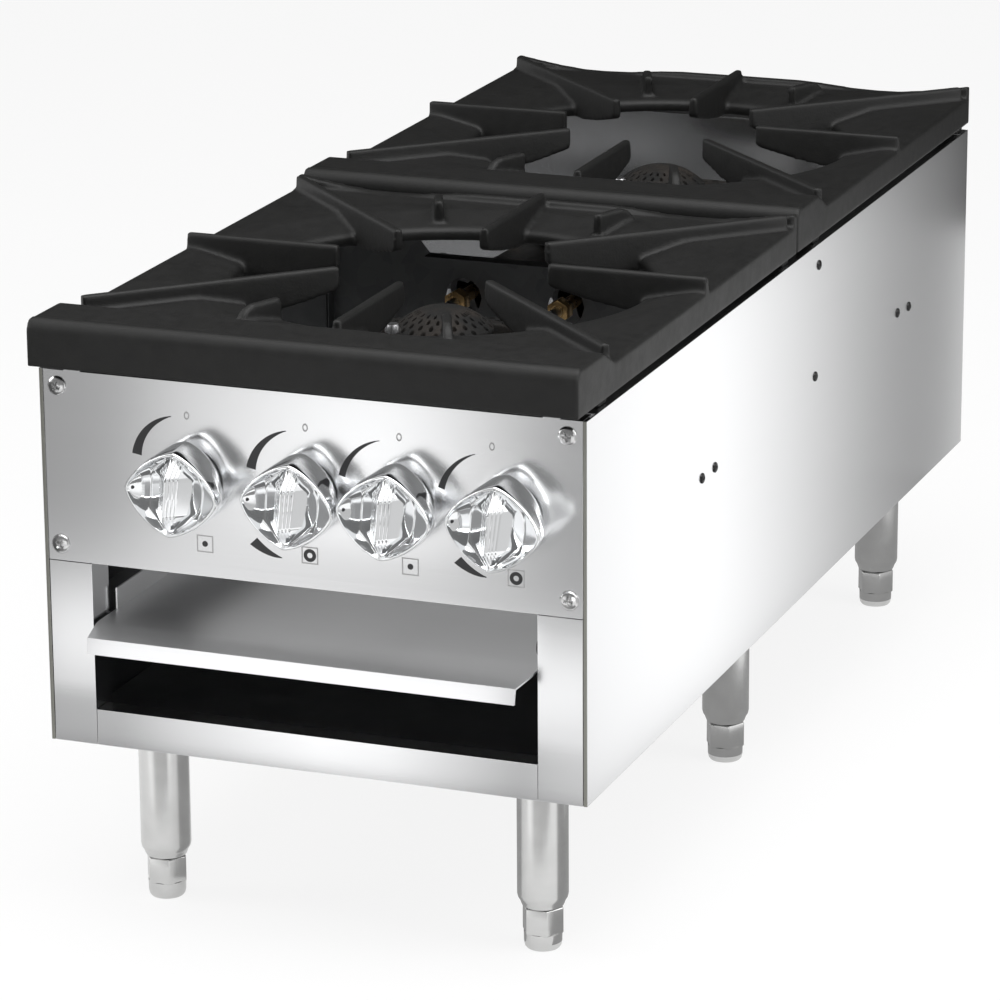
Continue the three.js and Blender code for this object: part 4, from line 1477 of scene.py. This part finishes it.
    def execute(self, context):
        settings = context.scene.range_burners
        for station, centre in STATIONS.items():
            self.inner(station, centre, settings)
            self.outer(station, centre, settings)
            mouth = centre - MOUTH_BACK
            rear = station == "rear"
            start = PARTITION_Y - 22 if rear else OUTLET_Y
            for label, x in (("inner", INNER_X), ("outer", OUTER_X)):
                self.shutter(station, label, x, mouth)
                self.jet(station, label, x, start, mouth, rear)
        return {"FINISHED"}


# ---------------------------------------------------------------- gas train


def feed_route(from_x, to_x, end_y):
    """From a valve's outlet, down under the front burner and up to a rear jet."""
    run = 318
    return [(from_x, OUTLET_Y, MIX_Z), (from_x, 78, MIX_Z), (from_x, 112, run),
            (from_x, 430, run), (to_x, 520, run), (to_x, 545, MIX_Z), (to_x, end_y, MIX_Z)]


def pilot_route(start_x, run, centre):
    """From the manifold, back at the height of the run and up beside a burner."""
    tip_y = centre - PILOT_BACK
    return [(start_x, 49.7, MANIFOLD_Z), (start_x, 64, MANIFOLD_Z), (start_x, 76, run),
            (start_x, tip_y - 60, run), (PILOT_X, tip_y - 20, run), (PILOT_X, tip_y, run + 16),
            (PILOT_X, tip_y, 445)]


def manifold_nut(bm, start, length):
    """A hexagonal cap or nut on the manifold, which runs along X."""
    nut = hexagon(16.4, length, 1)
    turn(nut, nut.verts, math.pi / 2, "Y")
    bmesh.ops.translate(nut, verts=nut.verts, vec=(start, MANIFOLD_Y, MANIFOLD_Z))
    join_drawing(bm, nut)


class RANGE_OT_gas_train(bpy.types.Operator):
    """Valves, manifold, inlet pipe, feed tubes and pilots"""

    bl_idname = "range_build.gas_train"
    bl_label = "Gas Train"

    MANIFOLD_START = -140
    MANIFOLD_END = 189
    # station, and the pilot tube's place on the manifold and height of its run
    PILOTS = (("front", -50, 361), ("rear", 34, 302))

    def valve(self, number, x):
        """A tap body on the manifold and the spindle that turns in it."""
        bm = bmesh.new()
        body = [(4.3, 26), (4.3, 14.4), (8.6, 14.4), (9, 15), (9, 19.6), (13, 20), (14, 21),
                (14, 45), (12.8, 47), (10, 51.6), (0, 52), (0, 26), (4.3, 26)]
        lathe(bm, body, "Y", (x, 0, KNOB_Z), 40)
        lathe(bm, [(0, 359), (7.8, 359), (7.8, 372), (0, 372)], "Z", (x, MANIFOLD_Y, 0), 32)
        lathe(bm, [(0, 46), (6.3, 46), (6.3, 58), (0, 58)], "Y", (x, 0, MIX_Z), 32)
        place(f"tap_body_{number}", bm, BODY, cast_aluminium(), replaces=[f"gas_valve_{number}"])
        bm = bmesh.new()
        lathe(bm, [(0, -23.8), (3.5, -23.8), (4, -23.2), (4, 23.6), (0, 23.8)], "Y",
              (x, 0, KNOB_Z), 32)
        flat = KNOB_Z + 2.6
        for vert in bm.verts:
            if vert.co.y < 4 and vert.co.z > flat:
                vert.co.z = flat
        place(f"spindle_{number}", bm, f"knob_{number}_set", turned_brass(),
              replaces=[f"valve_stem_{number}"])

    def execute(self, context):
        for number, x in enumerate(KNOB_XS, 1):
            self.valve(number, x)
        bm = bmesh.new()
        start, end, radius = self.MANIFOLD_START, self.MANIFOLD_END, 13.4
        lathe(bm, [(0, start), (radius, start), (radius, end), (0, end)], "X",
              (0, MANIFOLD_Y, MANIFOLD_Z), 48)
        manifold_nut(bm, start, 16)
        manifold_nut(bm, end - 12, 12)
        place("manifold_pipe", bm, BODY, black_pipe(), replaces=["gas_manifold"])
        bm = bmesh.new()
        bar(bm, [(end + 0.3, MANIFOLD_Y, MANIFOLD_Z), (PIPE_X, MANIFOLD_Y, MANIFOLD_Z),
                 (PIPE_X, MANIFOLD_Y + 44, PIPE_Z), (PIPE_X, 1080, PIPE_Z)], 10.6, 8)
        coupling = [(10, 1075), (10, 1096.6), (10.6, 1097), (14.8, 1097), (15.6, 1096.2),
                    (15.6, 1092), (14.9, 1091), (14.9, 1078), (15.6, 1077), (15.6, 1070),
                    (14.8, 1069.2), (0, 1069.2), (0, 1075), (10, 1075)]
        lathe(bm, coupling, "Y", (PIPE_X, 0, PIPE_Z), 56)
        place("inlet_pipe_run", bm, BODY, black_pipe(), replaces=["gas_inlet_pipe"])
        feed_end = PARTITION_Y - 22.3
        for label, from_x, to_x in (("inner", KNOB_XS[2], INNER_X), ("outer", KNOB_XS[3], OUTER_X)):
            bm = bmesh.new()
            bar(bm, feed_route(from_x, to_x, feed_end), 4.9, 9, 4)
            place(f"rear_{label}_feed", bm, BODY, drawn_tube(),
                  replaces=[f"rear_{label}_feed_tube"])
        for station, start_x, run in self.PILOTS:
            centre = STATIONS[station]
            bm = bmesh.new()
            bar(bm, pilot_route(start_x, run, centre), 2.9, 5, 3)
            tip = [(0, 440), (4.4, 440), (4.6, 441), (6.2, 453.6), (6.3, 455.6), (3.4, 456),
                   (3.4, 460.8), (6.3, 461.2), (6.3, 464), (5, 467.6), (0, 468)]
            lathe(bm, tip, "Z", (PILOT_X, centre - PILOT_BACK, 0), 32)
            place(f"{station}_pilot_tube", bm, BODY, drawn_tube(), replaces=[f"{station}_pilot"])
        return {"FINISHED"}


# ---------------------------------------------------------------- stage


class RANGE_OT_stage(bpy.types.Operator):
    """Pale floor, soft lights and the camera"""

    bl_idname = "range_build.stage"
    bl_label = "Stage"

    # the camera: focal length, eye in the drawing's millimetres, and angles in radians
    FOCAL = 169.65
    EYE = (1386.2, -3196.8, 1440.3)
    AZIMUTH, ELEVATION, ROLL = 0.36675, 0.29697, -0.0068
    # name, position, aim, size, share of the key light's power
    LAMPS = (
        ("key", (0.4, -0.6, 2.6), (0, 0, 0.3), (2.4, 2.4), 1),
        ("left", (-2.6, -1.2, 1.5), (0, 0, 0.4), (1.2, 2), 0.4),
        ("low", (0.3, -2.4, 0.45), (0, -0.3, 0.2), (1.4, 0.5), 0.25),
        ("right", (2.6, -0.2, 1.6), (0, 0, 0.3), (1.6, 2), 0.5),
    )
    # name, middle, length and width, turns in degrees, levels along the length
    CARDS = (
        ("card_in_front", (-0.14, -0.9, 0.19), (0.8, 0.38), (90, 0, 0),
         ((0.21, 0.29), (0.25, 0.34), (0.28, 0.44), (0.31, 0.6), (0.37, 0.72), (0.43, 0.84),
          (0.49, 0.96), (0.55, 1), (0.58, 0.98), (0.62, 0.84), (0.67, 0.64), (0.73, 0.38),
          (0.77, 0.26))),
        ("card_low_in_front", (-0.14, -0.885, 0.19), (0.62, 0.05), (90, 0, 0),
         ((0.14, 0.36), (0.2, 0.5), (0.26, 0.64), (0.34, 0.63), (0.5, 0.56), (0.66, 0.47),
          (0.81, 0.35), (0.87, 0.28))),
        ("card_before_posts", (-0.125, -0.87, 0.112), (0.115, 0.6), (90, -90, 0),
         ((0, 0.6), (0.35, 0.96), (0.6, 1), (0.8, 0.8), (1, 0.55))),
        ("card_before_rail", (-0.045, -0.64, 0.13), (0.51, 0.05), (90, 0, 0),
         ((0.07, 0.4), (0.147, 0.42), (0.265, 0.7), (0.382, 0.88), (0.5, 1), (0.618, 0.92),
          (0.735, 0.65), (0.843, 0.41), (0.89, 0.5), (0.94, 0.55))),
        ("card_in_bay", (0.025, 0.02, 0.3), (0.98, 0.32), (0, 0, 90),
         ((0, 0.42), (0.05, 0.3), (0.1, 0.22), (1, 0.16))),
        ("card_before_lip", (-0.03, -0.62, 0.241), (0.36, 0.04), (90, 0, 0), ((0, 1), (1, 1))),
        ("card_before_legs", (-0.08, -0.6, 0.055), (0.9, 0.11), (90, 0, 0),
         ((0.15, 0.75), (0.22, 1), (0.31, 1), (0.36, 0.52), (0.53, 0.44), (0.58, 1), (0.67, 1),
          (0.72, 0.52), (1, 0.42))),
        ("card_at_right", (0.35, 0.34, 0.2), (1.26, 0.4), (90, 0, 90),
         ((0.05, 0.85), (0.25, 1), (0.35, 1), (0.42, 0.88), (0.5, 0.76), (0.58, 0.62),
          (0.66, 0.47), (0.74, 0.36), (0.82, 0.26), (0.9, 0.2), (1, 0.17))),
        ("card_right_of_knobs", (0.72, -0.75, 0.26), (0.7, 0.52), (90, 0, 90),
         ((0, 0.4), (1, 0.62))),
        ("flag_below_knobs", (-0.08, -0.745, 0.012), (1.0, 0.27), (0, 0, 0), ((0, 0.06), (1, 0.2))),
        # painted shadow: stands in, in reflections, for the range's shadow on the floor beneath it
        ("flag_under_range", (0.235, 0.22, 0.006), (0.73, 1.36), (0, 0, 0), ((0, 0.3), (1, 0.3))),
        ("flag_at_left", (-0.33, -0.585, 0.29), (0.14, 0.34), (90, 0, 90), ((0, 0.08), (1, 0.08))),
        ("flag_above_front", (0.25, -1.6, 1.05), (1.5, 0.6), (90, 0, 0), ((0, 0.08), (1, 0.08))),
        ("flag_over_card", (-0.15, -0.95, 0.57), (1.2, 0.36), (90, 0, 0), ((0, 0.2), (1, 0.12))),
        ("flag_behind", (-0.6, 1.6, 1.45), (4.2, 2.7), (90, 0, 0), ((0, 0.02), (1, 0.02))),
    )
    CARD_STRENGTH = 1.32

    def camera(self, context):
        level, rise = math.cos(self.ELEVATION), math.sin(self.ELEVATION)
        back = Vector((math.sin(self.AZIMUTH) * level, -math.cos(self.AZIMUTH) * level, rise))
        right = (-back).cross(DIRECTIONS["Z"]).normalized()
        up = right.cross(-back)
        across = right * math.cos(self.ROLL) + up * math.sin(self.ROLL)
        above = up * math.cos(self.ROLL) - right * math.sin(self.ROLL)
        data = bpy.data.cameras.new("camera")
        data.lens = self.FOCAL
        data.sensor_width = 36
        data.clip_end = 50
        camera = bpy.data.objects.new("camera", data)
        turned = Matrix((across, above, back)).transposed().to_4x4()
        camera.matrix_world = Matrix.Translation(TO_ROW @ Vector(self.EYE)) @ turned
        context.scene.collection.objects.link(camera)
        context.scene.camera = camera

    def floor(self, context, colour):
        """White to the camera and in reflections, but for the range's own shadow."""
        bm = bmesh.new()
        bmesh.ops.create_grid(bm, x_segments=1, y_segments=1, size=14)
        finish = Finish("studio_floor", tuple(colour), 0.8)
        glow = finish.node("ShaderNodeEmission", {}, {"Color": (1, 1, 1, 1), "Strength": 1.0})
        body = Signal(finish, finish.shader.outputs[0])
        finish.surface("Material", finish.blend(finish.studio_rays(0.7) * 0.86, body, glow))
        self.stand(context, "floor", bm, finish.material)

    def stand(self, context, name, bm, material):
        """Puts a drawing in metres on the stage, outside the range itself."""
        mesh = bpy.data.meshes.new(name)
        bm.to_mesh(mesh)
        bm.free()
        mesh.materials.append(material)
        thing = bpy.data.objects.new(name, mesh)
        context.scene.collection.objects.link(thing)
        return thing

    def card(self, context, name, centre, size, turns, stops):
        """A graded card that only shows as a reflection in the metal."""
        bm = bmesh.new()
        bm.loops.layers.uv.new("along")
        bmesh.ops.create_grid(bm, x_segments=1, y_segments=1, size=0.5, calc_uvs=True)
        bmesh.ops.scale(bm, verts=bm.verts, vec=(*size, 1))
        turned = Euler([math.radians(angle) for angle in turns]).to_matrix()
        bmesh.ops.rotate(bm, verts=bm.verts, matrix=turned)
        bmesh.ops.translate(bm, verts=bm.verts, vec=centre)
        finish = Finish(name, (0.8, 0.8, 0.8), 0.8)
        position = finish.node("ShaderNodeTexCoord", {}, {}, "UV")
        along = finish.node("ShaderNodeSeparateXYZ", {}, {0: position}, "X")
        tone = {"Color": finish.levels(along, stops), "Strength": self.CARD_STRENGTH}
        finish.surface("Material", finish.node("ShaderNodeEmission", {}, tone))
        card = self.stand(context, name, bm, finish.material)
        for ray in ("camera", "diffuse", "transmission", "shadow"):
            setattr(card, f"visible_{ray}", False)

    def lamp(self, context, name, position, aim, size, power):
        data = bpy.data.lights.new(name, "AREA")
        data.shape = "RECTANGLE"
        data.size, data.size_y = size
        data.energy = power
        lamp = bpy.data.objects.new(name, data)
        towards = (Vector(aim) - Vector(position)).to_track_quat("-Z", "Y")
        lamp.matrix_world = Matrix.Translation(position) @ towards.to_matrix().to_4x4()
        context.scene.collection.objects.link(lamp)

    def world(self, context, fill):
        """Graded light from all round, and plain white behind the range."""
        world = bpy.data.worlds.new("studio")
        world.use_nodes = True
        world.node_tree.nodes.remove(world.node_tree.nodes["Background"])
        sky = Shading(world.node_tree)
        position = sky.node("ShaderNodeTexCoord", {}, {}, "Generated")
        height = sky.node("ShaderNodeSeparateXYZ", {}, {0: position}, "Z")
        levels = sky.levels(height, ((0.0, 0.62), (0.1, 0.34), (0.32, 0.2), (0.6, 0.8), (1.0, 1.0)))
        light = sky.node("ShaderNodeBackground", {}, {"Color": levels, "Strength": fill})
        shown = sky.node("ShaderNodeBackground", {}, {"Color": (1, 1, 1, 1), "Strength": 1.0})
        sky.surface("World", sky.blend(sky.studio_rays(), light, shown))
        context.scene.world = world

    def execute(self, context):
        settings = context.scene.range_stage
        self.camera(context)
        self.floor(context, settings.floor_colour)
        self.world(context, settings.fill)
        for card in self.CARDS:
            self.card(context, *card)
        for *lamp, share in self.LAMPS:
            self.lamp(context, *lamp, settings.key_power * share)
        context.scene.view_settings.view_transform = "Standard"
        return {"FINISHED"}


# ---------------------------------------------------------------- panel and registration


STEPS = (
    RANGE_OT_stage,
    RANGE_OT_panels,
    RANGE_OT_tray,
    RANGE_OT_fasteners,
    RANGE_OT_markings,
    RANGE_OT_legs,
    RANGE_OT_knobs,
    RANGE_OT_grates,
    RANGE_OT_burners,
    RANGE_OT_gas_train,
)

SETTINGS = {
    "range_steel": RangeSteelSettings,
    "range_casting": RangeCastingSettings,
    "range_knobs": RangeKnobSettings,
    "range_burners": RangeBurnerSettings,
    "range_stage": RangeStageSettings,
}


class RANGE_PT_build(bpy.types.Panel):
    """Lists the build steps and their settings"""

    bl_label = "Stock Pot Range"
    bl_idname = "RANGE_PT_build"
    bl_space_type = "VIEW_3D"
    bl_region_type = "UI"
    bl_category = "Range"

    def draw(self, context):
        for step in STEPS:
            self.layout.operator(step.bl_idname)
        for name, group in SETTINGS.items():
            box = self.layout.box()
            box.label(text=group.__doc__)
            for setting in group.__annotations__:
                box.prop(getattr(context.scene, name), setting)


CLASSES = (*SETTINGS.values(), *STEPS, RANGE_PT_build)


def register():
    for cls in CLASSES:
        bpy.utils.register_class(cls)
    for name, group in SETTINGS.items():
        setattr(bpy.types.Scene, name, bpy.props.PointerProperty(type=group))


def unregister():
    for name in SETTINGS:
        delattr(bpy.types.Scene, name)
    for cls in reversed(CLASSES):
        bpy.utils.unregister_class(cls)


def main():
    register()
    for step in STEPS:
        category, name = step.bl_idname.split(".")
        getattr(getattr(bpy.ops, category), name)()


if __name__ == "__main__":
    main()
